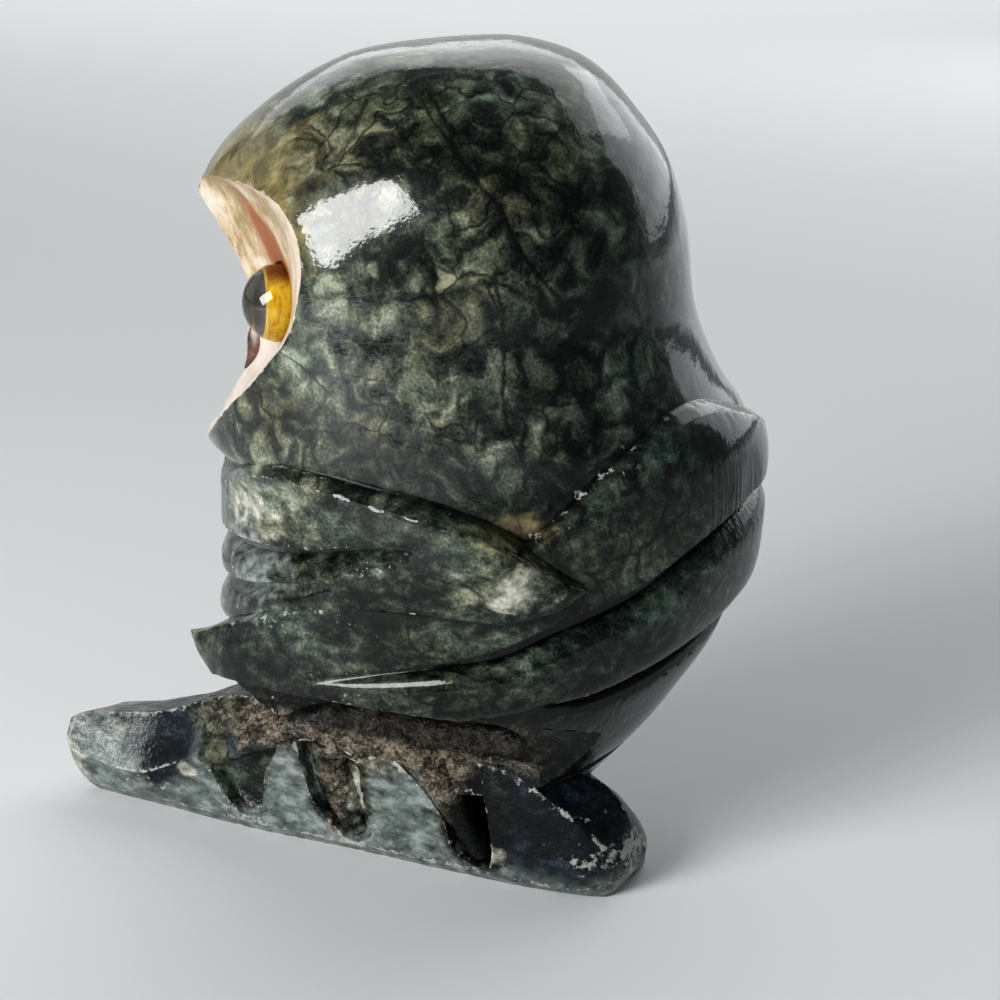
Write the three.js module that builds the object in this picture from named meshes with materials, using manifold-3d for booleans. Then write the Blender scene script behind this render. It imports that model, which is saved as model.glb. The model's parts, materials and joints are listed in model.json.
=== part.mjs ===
// Alabaster owl hugging itself with crossed wings, its head turned to its right, perched on a short log.
// Owl and log are one carved stone; the two glass eyes are set into it. Millimetres, +Z up.
// The log lies along X and the breast faces -Y. The origin is on the surface the log lies on, at the middle
// of the piece's box, and until the last step everything is placed from the owl's own upright axis instead.
// A compass angle is in degrees round that axis, 0 towards -Y and growing towards +X.
import * as THREE from "three";
import { mergeVertices } from "three/addons/utils/BufferGeometryUtils.js";
import Module from "manifold-3d";

const wasm = await Module();
wasm.setup();

// Driving sizes
const owlHeight = 102;
const logLength = 80.6;
const logDepth = 27.4;
const logHeight = 18.4;
const headTurn = -63; // compass angle that the face looks along
const eyeRadius = 4.55;
const eyeDomeHeight = 3.3;
const eyeSeatDepth = 2.6; // glass below the dome, let into the stone
const eyeClearance = 0.3;
const eyeSplay = 28; // degrees each eye looks outwards

// The owl's rows are drawn for a height of 102, and the log's for 80.6 by 27.4 by 18.4
const owlScale = owlHeight / 102;
const logScale = [logLength / 80.6, logDepth / 27.4, logHeight / 18.4];

// Head and trunk: height, reach towards the face, reach towards the nape, half width
const trunkRings = [
  [9, 7.9, 12.1, 8],
  [13, 20.7, 14.2, 18],
  [20, 33.6, 20.1, 25],
  [25, 35, 23.8, 27.4],
  [30, 34.2, 27.2, 29],
  [35, 32.8, 29.2, 29.3],
  [40, 32.6, 30.5, 29.6],
  [50, 32.6, 31, 29.4],
  [52.4, 33.8, 31.1, 29.2],
  [54.6, 36.2, 30.9, 29],
  [58, 36.9, 29.8, 28.8],
  [62, 37.4, 27, 28.5],
  [70, 37.9, 23.7, 28],
  [80, 37.3, 22.4, 27.5],
  [88, 34.2, 20, 25.5],
  [93.9, 28.3, 15.9, 21.5],
  [98.4, 21.2, 11.6, 16],
  [100.8, 14.1, 6.8, 9.5],
  [102, 0.01, 0.01, 0.01],
];
const trunkSides = 54;
const trunkSteps = 33;

// Face hollows: height, ridge between them, rim forward, rim aside, depth below the line from ridge to rim
const hollowRows = [
  [52.6, 38.5, 36.5, 12, 0],
  [54.6, 36.1, 34.8, 6, 0.2],
  [57.2, 33.9, 33.6, 10.2, 0.9],
  [60.4, 32.2, 31.8, 14.8, 1.5],
  [63.5, 30.4, 29, 18, 2],
  [66.9, 29.9, 26.3, 20.2, 2.3],
  [69.3, 29.9, 24.4, 21.4, 2.5],
  [72, 30.4, 23.2, 22, 2.6],
  [74.8, 31.4, 22.5, 22.3, 2.6],
  [77, 32.5, 22.1, 22.4, 2.5],
  [79.4, 33.8, 22.2, 22.2, 2.3],
  [81.7, 35.2, 22.7, 21.5, 2],
  [83.7, 36.4, 23.9, 20.2, 1.7],
  [85.2, 37.7, 25.5, 18.5, 1.3],
  [86.4, 39.6, 28.5, 15.2, 0.6],
  [87.6, 43, 33, 16, 0],
];
const hollowSteps = 20;
const ridgeHalfWidth = 1.1;
// Across a hollow: share of the way from ridge to rim, and share of the depth there
const hollowProfile = [[0.24, 1], [0.5, 0.9], [0.78, 0.45], [1, 0]];
const eyeHeight = 71.6;
const eyeAcross = 0.41; // place of the eye on the way from ridge to rim
const eyeSunk = 0.5; // the dome's rim below the line from ridge to rim
const eyeSides = 20;
const domeSteps = 6;

// Beak on the ridge: height, half width, proud of the ridge
const beakRows = [
  [67, 0.35, 0.6],
  [65.4, 1.3, 1.3],
  [63.6, 1.7, 1.6],
  [62.4, 1.2, 1.5],
  [61.6, 0.35, 0.8],
];
const beakRoot = 3;

// Near wing, tip to shoulder: compass angle, top edge height, bottom edge height, proud of the trunk
const leftWing = [
  [-53, 30.5, 30, 4.6],
  [-49, 32, 28.4, 4.5],
  [-43, 34, 26.4, 3.8],
  [-34, 36.2, 23.2, 3.2],
  [-20, 39.2, 22, 2.4],
  [-2, 41.8, 24, 2],
  [15, 43.5, 26.4, 2],
  [33, 48.7, 28.6, 2],
  [48, 55.2, 30, 2],
  [59, 58.9, 31.6, 2],
  [70, 61.2, 33.2, 2],
  [83, 61.6, 35, 2],
  [96, 60, 36.6, 2],
  [112, 57.4, 38.2, 1.9],
  [130, 54, 40, 1.7],
  [146, 49.5, 42.5, 0.3],
];
// Groove between its feathers: compass angle, height, depth
const leftWingGroove = [
  [-14, 30.8, 0.2],
  [0, 32.8, 1.2],
  [14, 34.5, 2],
  [27, 36.6, 2.8],
  [39, 39.5, 3.2],
  [57, 42.9, 3.4],
  [73, 46.7, 3.4],
  [87, 49, 3.2],
  [97, 49.9, 3],
  [116, 50.2, 2.4],
  [138, 49, 0.2],
];
// Groove below it
const leftFlankGroove = [
  [36, 28.9, 0.2],
  [46, 29.8, 1.6],
  [55, 31.3, 2.6],
  [66, 32.8, 3],
  [78, 34.4, 3],
  [96, 36.6, 2.8],
  [116, 38.8, 2],
  [138, 41.6, 0.2],
];
// Far wing, which crosses over the near one
const rightWing = [
  [44, 44, 43.5, 5],
  [41, 45.2, 42.2, 5],
  [36, 47.2, 40.9, 4.8],
  [27, 50.2, 39.9, 4.4],
  [14, 52.7, 40.2, 3.6],
  [0, 54, 40, 2.6],
  [-12, 54.9, 38, 2.2],
  [-25, 55.2, 36, 2],
  [-36, 53.4, 34, 2],
  [-50, 51, 32.5, 2],
  [-64, 50.8, 32, 2],
  [-80, 55.4, 32.5, 2],
  [-96, 57.6, 33.5, 2],
  [-112, 57, 35.4, 1.9],
  [-130, 54, 38.4, 1.7],
  [-146, 49.5, 42.5, 0.3],
];
const rightWingGrooves = [
  [
    [8, 48.6, 0.2],
    [-5, 47.3, 1.4],
    [-17, 45.9, 2],
    [-38, 44.6, 2.6],
    [-52, 43.9, 2.8],
    [-70, 44.4, 2.8],
    [-90, 45.8, 2.8],
    [-112, 47.4, 2.2],
    [-138, 48, 0.2],
  ],
  [
    [-10, 42.6, 0.2],
    [-23, 41.1, 1.2],
    [-35, 39.6, 1.8],
    [-50, 38.4, 2.4],
    [-70, 38.2, 2.6],
    [-90, 39, 2.6],
    [-112, 41, 2],
    [-138, 43, 0.2],
  ],
];
const wingStep = 5; // degrees between sections
const wingRoot = 4; // how far a wing reaches under the trunk's skin
const wingBevel = 1.3; // along a wing's top edge
// Across a wing, from its bottom edge up: share of its span, and share of how proud it stands
const wingProfile = [[0, 0.75], [0.12, 1], [0.45, 1.1]];
const wingEdgeProud = 0.35; // the same share at the top edge, above the bevel
const wingSkin = 2; // most of a wing's length stands this far off the trunk
const grooveRun = 4.6; // below the sharp upper edge of a full groove, over which it fades out
const grooveFull = 3; // depth at which a groove has its full run
const grooveOpen = 3; // how far the cutter stands out of the surface

// The breast is undercut above the feet, from here forwards and up
const undercutFront = -14.5;
const undercutHeight = 22.8;
const undercutSlope = 17; // degrees
const undercutReach = logLength / 2;

// Log, section by section along X: X, underside, then Y and Z of the front foot, the bulge above it, the arris,
// the front of the top, the back of the top, and the back's furthest point
const logSections = [
  [-58, 4.5, [-13.6, 4.5], [-15, 6], [-15.2, 8.6], [-14.2, 10.4], [-10.4, 9.4], [-8, 6.5]],
  [-57, 1.2, [-12.8, 1.2], [-14.7, 3.4], [-16.4, 8], [-14.2, 11.1], [-8.4, 9.8], [-3.5, 5]],
  [-55, 0, [-12.6, 0], [-14.8, 1.9], [-16.4, 7], [-13.2, 11.6], [-6.4, 10.6], [1, 4.6]],
  [-50, 0, [-12.9, 0], [-14.6, 1.7], [-16, 5.4], [-12.4, 12], [-4.4, 11], [4.5, 4.6]],
  [-45, 0, [-13.1, 0], [-14.7, 1.6], [-15.8, 5.6], [-11.8, 12.8], [-3.4, 12.3], [6.4, 5]],
  [-40, 0, [-13.4, 0], [-14.7, 1.5], [-15.8, 7.8], [-11.4, 14.6], [-3.6, 14.3], [8, 5.4]],
  [-33, 0, [-13.9, 0], [-15, 1.5], [-15.9, 11], [-12, 17.4], [-2, 17.2], [9.6, 6]],
  [-24, 0, [-13.8, 0], [-15.2, 1.5], [-15.8, 14.6], [-13, 18.2], [0, 18], [10.8, 6]],
  [-15, 0, [-13.4, 0], [-15, 1.5], [-15.2, 16.6], [-12.8, 18.4], [0, 18], [11, 6]],
  [0, 0, [-13.4, 0], [-14.8, 1.5], [-15, 16.4], [-12.8, 18], [0, 17.4], [11, 6]],
  [9, 0, [-13.2, 0], [-14.8, 1.5], [-14.6, 15.4], [-12.8, 16.8], [-1, 13.6], [9, 5]],
  [13, 0, [-12.8, 0], [-14.8, 1.5], [-14.4, 13.2], [-11, 15.6], [-2.6, 12.4], [7.4, 4.6]],
  [16.4, 0, [-12.2, 0], [-14.6, 1.6], [-14.3, 11], [-9.6, 14.9], [-3.4, 11.2], [5.4, 4.2]],
  [18.4, 0, [-11.8, 0], [-14.2, 1.8], [-14, 9.6], [-9, 14], [-4, 10.6], [3.6, 3.6]],
  [20.3, 0, [-11, 0], [-12.9, 2.2], [-13, 7.4], [-8.8, 12.6], [-4.6, 9.4], [0.9, 3.4]],
  [21.6, 1.2, [-9.6, 1.2], [-11.4, 2.8], [-11.6, 6.6], [-8.6, 10.8], [-5.6, 8.4], [-2, 4]],
  [22.6, 3, [-8.8, 3], [-9.8, 3.8], [-10, 6], [-8.4, 8], [-6.6, 7.2], [-4.6, 4.6]],
];
// Scoops in the log's front between the toes, each an outline in X and Z and how deep it goes
const scoops = [
  { outline: [[-36, 9.4], [-30.4, 13], [-24.8, 13.4], [-26.4, 9], [-26.8, 2], [-31, 2], [-34, 5]], depth: 2.2 },
  { outline: [[-22, 14], [-14.2, 13.6], [-13.2, 7.4], [-11, 1.6], [-16, 2.4], [-19.4, 6]], depth: 2.5 },
  { outline: [[-9, 15.6], [-3.4, 18], [8.6, 17.6], [6.6, 15.6], [6.6, 6], [5.4, 1.2], [0.2, 4], [-5, 11.4]],
    depth: 4.2 },
];
const scoopTaper = 0.7; // size of a scoop's floor against its mouth
const scoopFlare = 1.12;
const logFront = -16.4;
const logBackFoot = 0.8; // the back's foot stands this far in from its furthest point
// Toes over the log's front: points along each and its thickness there
const toes = [
  [[-10, -13.2, 18.8, 2.4], [-18, -14.2, 17.6, 2], [-31.5, -14.9, 11, 1.5], [-42, -15, 6.4, 0.7]],
  [[-13, -12.8, 18, 2.8], [-17.6, -12.8, 12.6, 2.6], [-15.8, -12.6, 6.4, 2.2], [-13.2, -12.8, 2.4, 1.2]],
  [[-10, -13.4, 18.4, 3], [-3.6, -13.6, 15.4, 2.8], [0.6, -13, 8.6, 2], [4.2, -13, 2.4, 1]],
  [[-6, -13.4, 18.8, 2.8], [3, -13.6, 18.8, 2.2], [9.4, -13.4, 17.8, 1.7], [13.4, -12.8, 15, 1]],
];
const toeSides = 8;
const toeSteps = 8;
// The bunched feet that the toes come from, under the breast
const feet = [
  { centre: [-9, -12.4, 17.2], radii: [8.5, 4, 4.2] },
  { centre: [5.5, -12.2, 18.6], radii: [8.5, 3.6, 3.6] },
];
const footSides = [16, 10];

const toRadians = THREE.MathUtils.degToRad;
const faceAngle = toRadians(headTurn);
const compass = (angle, r, z) => new THREE.Vector3(r * Math.sin(angle), -r * Math.cos(angle), z);

// A point in the head's own frame: forward along the face, aside to the owl's left, and height
const headPoint = (forward, aside, z) =>
  compass(faceAngle, forward, z).add(compass(faceAngle + Math.PI / 2, aside, 0));

// A smooth line through rows of numbers, read by the first of them, which always grows or always falls
function rowsThrough(rows, samples = 240) {
  const width = rows[0].length;
  const rising = rows.at(-1)[0] > rows[0][0];
  const channels = [];
  for (let c = 1; c < width; c++) {
    const corners = rows.map((row) => new THREE.Vector2(row[0], row[c]));
    channels.push(new THREE.SplineCurve(corners).getPoints(samples));
  }
  return (key) =>
    channels.map((points) => {
      let i = 0;
      while (i < samples - 1 && (rising ? points[i + 1].x < key : points[i + 1].x > key)) i++;
      const span = points[i + 1].x - points[i].x || 1;
      const share = THREE.MathUtils.clamp((key - points[i].x) / span, 0, 1);
      return THREE.MathUtils.lerp(points[i].y, points[i + 1].y, share);
    });
}

const trunkAt = rowsThrough(trunkRings);
const hollowAt = rowsThrough(hollowRows);

// Distance from the owl's axis to its smooth skin
function skin(angle, z) {
  const [front, back, half] = trunkAt(z);
  const c = Math.cos(angle - faceAngle);
  const s = Math.sin(angle - faceAngle);
  return 1 / Math.hypot(c / (c > 0 ? front : back), s / half);
}

function solidFrom(geometry) {
  const bare = geometry.clone();
  for (const name of Object.keys(bare.attributes)) if (name !== "position") bare.deleteAttribute(name);
  const merged = mergeVertices(bare, 1e-4);
  const vertProperties = merged.attributes.position.array;
  const triVerts = new Uint32Array(merged.index.array);
  const make = () => new wasm.Manifold(new wasm.Mesh({ numProp: 3, vertProperties, triVerts }));
  const solid = make();
  if (solid.volume() > 0) return solid;
  for (let i = 0; i < triVerts.length; i += 3) triVerts.subarray(i, i + 3).reverse();
  return make();
}

function geometryFrom(solid) {
  const mesh = solid.getMesh();
  const geometry = new THREE.BufferGeometry();
  geometry.setAttribute("position", new THREE.BufferAttribute(mesh.vertProperties, 3));
  geometry.setIndex(new THREE.BufferAttribute(mesh.triVerts, 1));
  geometry.computeVertexNormals();
  return geometry;
}

// A closed solid through a row of sections, each with as many points, scaled along X, Y and Z
function loft(sections, scale) {
  const n = sections[0].length;
  const positions = sections.flat().flatMap((p) => p.toArray());
  const index = [];
  for (let row = 0; row + 1 < sections.length; row++) {
    for (let j = 0; j < n; j++) {
      const a = row * n + j;
      const b = row * n + ((j + 1) % n);
      index.push(a, b, b + n, a, b + n, a + n);
    }
  }
  for (const row of [0, sections.length - 1]) {
    const centre = new THREE.Vector3();
    for (const p of sections[row]) centre.addScaledVector(p, 1 / n);
    const tip = positions.length / 3;
    positions.push(...centre.toArray());
    for (let j = 0; j < n; j++) {
      const a = row * n + j;
      const b = row * n + ((j + 1) % n);
      if (row) index.push(tip, a, b);
      else index.push(tip, b, a);
    }
  }
  const geometry = new THREE.BufferGeometry();
  geometry.setAttribute("position", new THREE.Float32BufferAttribute(positions, 3));
  geometry.setIndex(index);
  geometry.scale(...scale);
  return solidFrom(geometry);
}

const owlLoft = (sections) => loft(sections, [owlScale, owlScale, owlScale]);
const logLoft = (sections) => loft(sections, logScale);

function trunk() {
  const outline = new THREE.SplineCurve(trunkRings.map(([z, front]) => new THREE.Vector2(z, front)));
  const sections = outline.getSpacedPoints(trunkSteps).map(({ x: z }) => {
    const ring = [];
    for (let j = 0; j < trunkSides; j++) {
      const angle = (j / trunkSides) * Math.PI * 2;
      ring.push(compass(angle, skin(angle, z), z));
    }
    return ring;
  });
  return owlLoft(sections);
}

// Sections round the trunk, one every few degrees, for a wing or a groove
function roundTrunk(rows, section) {
  const at = rowsThrough(rows);
  const first = rows[0][0];
  const last = rows.at(-1)[0];
  const count = Math.round(Math.abs(last - first) / wingStep);
  const sections = [];
  for (let i = 0; i <= count; i++) {
    const degrees = THREE.MathUtils.lerp(first, last, i / count);
    const angle = toRadians(degrees);
    const spot = (z, proud) => compass(angle, skin(angle, z) + proud, z);
    sections.push(section(spot, ...at(degrees)));
  }
  return owlLoft(sections);
}

// A wing is a slab laid on the trunk, with a bevelled top edge, a blunt bottom edge and a pointed tip
const wing = (rows) =>
  roundTrunk(rows, (spot, top, bottom, proud) => {
    const span = top - bottom;
    const bevel = Math.min(wingBevel, span * 0.3);
    return [
      spot(bottom, -wingRoot),
      ...wingProfile.map(([share, stand]) => spot(bottom + span * share, proud * stand)),
      spot(top - bevel, proud),
      spot(top, proud * wingEdgeProud),
      spot(top, -wingRoot),
    ];
  });

// A groove lies under the overlapping edge of a feather: steep above, fading out below
const groove = (rows, surface) =>
  roundTrunk(rows, (spot, z, depth) => {
    const run = THREE.MathUtils.lerp(0.35, 1, Math.min(1, depth / grooveFull)) * grooveRun;
    return [
      spot(z, surface + grooveOpen),
      spot(z - 0.3, surface - depth),
      spot(z - run, surface + 0.1),
      spot(z - run, surface + grooveOpen),
    ];
  });

const mirrorAside = (half) => half.map(([forward, aside]) => [forward, -aside]).reverse();

// Both hollows of the face as one cutter, with the ridge of the face left between them
function faceHollows() {
  const low = hollowRows[0][0];
  const high = hollowRows.at(-1)[0];
  const sections = [];
  for (let i = 0; i <= hollowSteps; i++) {
    const z = THREE.MathUtils.lerp(low, high, i / hollowSteps);
    const [ridge, rimForward, rimAside, depth] = hollowAt(z);
    const dish = hollowProfile.map(([share, sink]) => [
      THREE.MathUtils.lerp(ridge, rimForward, share) - depth * sink,
      rimAside * share,
    ]);
    const half = [
      [ridge - 0.3, ridgeHalfWidth],
      ...dish,
      [rimForward + 1.4, rimAside + 2.6],
      [rimForward + 26, rimAside + 6],
    ];
    const outline = [[ridge, 0], ...half, ...mirrorAside(half)];
    sections.push(outline.map(([forward, aside]) => headPoint(forward, aside, z)));
  }
  return owlLoft(sections);
}

function beak() {
  const sections = beakRows.map(([z, half, proud]) => {
    const ridge = hollowAt(z)[0];
    const side = [[ridge - beakRoot, -half], [ridge - 0.6, -half], [ridge + proud - 0.4, -half * 0.4]];
    const outline = [...side, [ridge + proud, 0], ...mirrorAside(side)];
    return outline.map(([forward, aside]) => headPoint(forward, aside, z));
  });
  return owlLoft(sections);
}

// Everything in front of the breast's underside and above the feet
function undercut() {
  const rise = Math.tan(toRadians(undercutSlope)) * undercutReach;
  const ends = [logSections[0][0] - 2, logSections.at(-1)[0] + undercutReach];
  const sections = ends.map((x) => [
    new THREE.Vector3(x, undercutFront, 0),
    new THREE.Vector3(x, undercutFront, undercutHeight),
    new THREE.Vector3(x, undercutFront - undercutReach, undercutHeight + rise),
    new THREE.Vector3(x, undercutFront - undercutReach, 0),
  ]);
  return owlLoft(sections);
}

function logBlock() {
  const sections = logSections.map(([x, under, ...corners]) => {
    const backFoot = [corners.at(-1)[0] - logBackFoot, under];
    return [...corners, backFoot].map(([y, z]) => new THREE.Vector3(x, y, z));
  });
  return logLoft(sections);
}

function scoop({ outline, depth }) {
  const middle = new THREE.Vector2();
  for (const [x, z] of outline) middle.add(new THREE.Vector2(x, z).divideScalar(outline.length));
  const section = (y, size) =>
    outline.map(([x, z]) => {
      const p = new THREE.Vector2(x, z).sub(middle).multiplyScalar(size).add(middle);
      return new THREE.Vector3(p.x, y, p.y);
    });
  return logLoft([
    section(logFront - 1, scoopFlare),
    section(logFront + 1, 1),
    section(logFront + 1 + depth, scoopTaper),
  ]);
}

// A toe is a tapering round bar
function toe(rows) {
  const path = new THREE.CatmullRomCurve3(rows.map(([x, y, z]) => new THREE.Vector3(x, y, z)));
  const thickness = new THREE.SplineCurve(rows.map((row, i) => new THREE.Vector2(i, row[3])));
  const sections = [];
  for (let i = 0; i <= toeSteps; i++) {
    const share = i / toeSteps;
    const centre = path.getPoint(share);
    const radius = thickness.getPoint(share).y;
    const along = path.getTangent(share);
    const side = new THREE.Vector3(0, 1, 0).cross(along).normalize();
    const up = along.clone().cross(side);
    const ring = [];
    for (let j = 0; j < toeSides; j++) {
      const angle = (j / toeSides) * Math.PI * 2;
      const out = side.clone().multiplyScalar(Math.cos(angle)).addScaledVector(up, Math.sin(angle));
      ring.push(centre.clone().addScaledVector(out, radius));
    }
    sections.push(ring);
  }
  return logLoft(sections);
}

function foot({ centre, radii }) {
  const geometry = new THREE.SphereGeometry(1, ...footSides);
  geometry.scale(...radii);
  geometry.translate(...centre);
  geometry.scale(...logScale);
  return solidFrom(geometry);
}

// A glass eye, or with some growth the pocket for it: a low dome on a round seat
function eye(sideSign, growth) {
  const radius = eyeRadius + growth;
  const domeHeight = eyeDomeHeight + growth;
  const ball = (radius ** 2 + domeHeight ** 2) / (2 * domeHeight);
  const seat = -eyeSeatDepth - growth;
  const profile = [new THREE.Vector2(0, seat), new THREE.Vector2(radius, seat)];
  for (let i = 0; i <= domeSteps; i++) {
    const tilt = Math.asin(radius / ball) * (1 - i / domeSteps);
    profile.push(new THREE.Vector2(ball * Math.sin(tilt), ball * Math.cos(tilt) - ball + domeHeight));
  }
  const [ridge, rimForward, rimAside] = hollowAt(eyeHeight);
  const forward = THREE.MathUtils.lerp(ridge, rimForward, eyeAcross) - eyeSunk;
  const centre = headPoint(forward, rimAside * eyeAcross * sideSign, eyeHeight).multiplyScalar(owlScale);
  const geometry = new THREE.LatheGeometry(profile, eyeSides);
  geometry.rotateX(Math.PI);
  geometry.rotateZ(faceAngle + toRadians(eyeSplay) * sideSign);
  geometry.translate(...centre.toArray());
  return solidFrom(geometry);
}

function carvedOwl() {
  const nearWing = wing(leftWing);
  let farWing = wing(rightWing);
  for (const rows of rightWingGrooves) farWing = farWing.subtract(groove(rows, wingSkin));
  let owl = trunk().subtract(groove(leftFlankGroove, 0));
  owl = owl.add(nearWing).subtract(groove(leftWingGroove, wingSkin)).add(farWing);
  owl = owl.subtract(undercut()).subtract(faceHollows()).add(beak());
  let log = logBlock();
  for (const cut of scoops) log = log.subtract(scoop(cut));
  owl = owl.add(log);
  for (const rows of toes) owl = owl.add(toe(rows));
  for (const mass of feet) owl = owl.add(foot(mass));
  for (const sideSign of [1, -1]) owl = owl.subtract(eye(sideSign, eyeClearance));
  return owl;
}

const stone = new THREE.MeshStandardMaterial({ color: 0x35443c, roughness: 0.2, metalness: 0 });
const amberGlass = new THREE.MeshStandardMaterial({ color: 0xc98a10, roughness: 0.05, metalness: 0 });
const group = new THREE.Group();
function addPiece(name, solid, material) {
  const mesh = new THREE.Mesh(geometryFrom(solid), material);
  mesh.name = name;
  group.add(mesh);
}
addPiece("carved_owl", carvedOwl(), stone);
addPiece("left_eye", eye(1, 0), amberGlass);
addPiece("right_eye", eye(-1, 0), amberGlass);

// Stand the whole piece on the middle of its footprint
const box = new THREE.Box3().setFromObject(group);
const middle = box.getCenter(new THREE.Vector3());
for (const mesh of group.children) mesh.geometry.translate(-middle.x, -middle.y, -box.min.z);

export default group;
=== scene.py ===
# Alabaster owl on a short log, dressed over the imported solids.
# Shapes are worked out in millimetres from the owl's own upright axis and turned to metres at the end.
# A compass angle is 0 towards -Y and grows towards +X. The face looks along faceTurn.
import json
import math

import bmesh
import bpy
import numpy as np
from mathutils import Matrix, Quaternion, Vector, noise

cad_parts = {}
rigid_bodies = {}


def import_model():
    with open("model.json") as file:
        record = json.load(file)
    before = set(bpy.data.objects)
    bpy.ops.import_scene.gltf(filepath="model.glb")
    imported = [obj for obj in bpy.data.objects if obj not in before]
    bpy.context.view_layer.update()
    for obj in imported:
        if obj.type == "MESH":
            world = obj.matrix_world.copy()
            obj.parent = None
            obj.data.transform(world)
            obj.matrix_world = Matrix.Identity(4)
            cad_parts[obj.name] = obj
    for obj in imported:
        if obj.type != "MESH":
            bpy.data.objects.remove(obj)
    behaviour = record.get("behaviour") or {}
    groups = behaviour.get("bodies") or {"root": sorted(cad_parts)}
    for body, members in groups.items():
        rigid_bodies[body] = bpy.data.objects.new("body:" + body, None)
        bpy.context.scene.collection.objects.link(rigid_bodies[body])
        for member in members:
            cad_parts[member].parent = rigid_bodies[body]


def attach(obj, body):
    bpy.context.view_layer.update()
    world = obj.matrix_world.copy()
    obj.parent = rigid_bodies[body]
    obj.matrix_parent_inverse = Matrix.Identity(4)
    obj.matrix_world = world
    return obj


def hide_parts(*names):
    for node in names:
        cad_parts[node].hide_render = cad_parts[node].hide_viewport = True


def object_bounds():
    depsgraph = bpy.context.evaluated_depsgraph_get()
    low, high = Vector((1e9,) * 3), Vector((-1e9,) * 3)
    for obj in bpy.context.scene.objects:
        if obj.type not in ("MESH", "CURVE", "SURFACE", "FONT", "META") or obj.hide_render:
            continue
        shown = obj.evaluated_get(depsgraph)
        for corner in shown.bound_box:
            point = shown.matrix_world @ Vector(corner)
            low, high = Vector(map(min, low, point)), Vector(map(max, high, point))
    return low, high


for leftover in list(bpy.data.objects):   # the default cube, lamp and camera
    bpy.data.objects.remove(leftover)
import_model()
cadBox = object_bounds()

owl = {
    "axis": (12.676, 1.581),   # where the owl's axis stands in the part's frame
    "faceTurn": -63,
}
faceAngle = math.radians(owl["faceTurn"])


def compass(angle, reach, height):
    angle, reach, height = np.broadcast_arrays(angle, reach, height)
    return np.stack([reach * np.sin(angle), -reach * np.cos(angle), height], axis=-1)


def headPoint(forward, aside, height):
    return compass(faceAngle, forward, height) + compass(faceAngle + math.pi / 2, aside, 0 * height)


def smoothRows(rows, samples=40):
    rows = np.array(rows, float)
    padded = np.vstack([rows[:1], rows, rows[-1:]])
    t = np.linspace(0, 1, samples, endpoint=False)[:, None]
    spans = [0.5 * (2 * b + (c - a) * t + (2 * a - 5 * b + 4 * c - d) * t ** 2 + (3 * b - a - 3 * c + d) * t ** 3)
             for a, b, c, d in zip(padded, padded[1:], padded[2:], padded[3:])]
    return np.vstack(spans + [rows[-1:]])


def readRows(rows):
    # each column of the smoothed rows, read by the first
    line = smoothRows(rows)
    if line[0, 0] > line[-1, 0]:
        line = line[::-1]
    return lambda key: [np.interp(key, line[:, 0], line[:, i]) for i in range(1, line.shape[1])]


def blur(values, width):
    # soft average along the first axis, in steps
    reach = int(width * 3)
    weights = np.exp(-0.5 * (np.arange(-reach, reach + 1) / width) ** 2)
    weights /= weights.sum()
    padded = np.pad(values, [(reach, reach)] + [(0, 0)] * (values.ndim - 1), mode="edge")
    return sum(w * padded[i:i + len(values)] for i, w in enumerate(weights))


def easeStep(low, high, value):
    t = np.clip((value - low) / (high - low), 0, 1)
    return t * t * (3 - 2 * t)


def lumps(points, size, octaves=2, seed=0):
    # fractal noise at the points, about -1 to 1, with features of that size in mm
    shift = Vector((seed * 17.3, seed * -9.1, seed * 5.7))
    return np.array([noise.fractal(Vector(p) / size + shift, 1.0, 2.0, octaves) for p in points])


def pointsOf(mesh):
    co = np.empty(len(mesh.vertices) * 3)
    mesh.vertices.foreach_get("co", co)
    return co.reshape(-1, 3)


def setPoints(mesh, points):
    mesh.vertices.foreach_set("co", np.ascontiguousarray(points, np.float32).ravel())
    mesh.update()


def tidyMesh(mesh, gap=0.002):
    # welds the seam, closes the ends and turns the faces outwards
    bm = bmesh.new()
    bm.from_mesh(mesh)
    bmesh.ops.remove_doubles(bm, verts=bm.verts, dist=gap)
    rims = [e for e in bm.edges if e.is_boundary]
    if rims:
        bmesh.ops.holes_fill(bm, edges=rims, sides=0)
    bmesh.ops.recalc_face_normals(bm, faces=bm.faces)
    if bm.calc_volume(signed=True) < 0:
        bmesh.ops.reverse_faces(bm, faces=bm.faces)
    bm.to_mesh(mesh)
    bm.free()


def newPiece(name, mesh):
    piece = bpy.data.objects.new(name, mesh)
    bpy.context.scene.collection.objects.link(piece)
    return piece


def loftPiece(name, sections):
    # a grid is bent round the sections, each a closed ring of as many points
    rows, around = sections.shape[:2]
    bm = bmesh.new()
    bmesh.ops.create_grid(bm, x_segments=around, y_segments=rows - 1, size=0.5)
    mesh = bpy.data.meshes.new(name)
    bm.to_mesh(mesh)
    bm.free()
    flat = pointsOf(mesh) + 0.5
    column = np.rint(flat[:, 0] * around).astype(int) % around
    row = np.rint(flat[:, 1] * (rows - 1)).astype(int)
    setPoints(mesh, sections[row, column])
    tidyMesh(mesh)
    return newPiece(name, mesh)


def bakeModifiers(piece):
    graph = bpy.context.evaluated_depsgraph_get()
    mesh = bpy.data.meshes.new_from_object(piece.evaluated_get(graph))
    piece.modifiers.clear()
    piece.data = mesh


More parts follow.
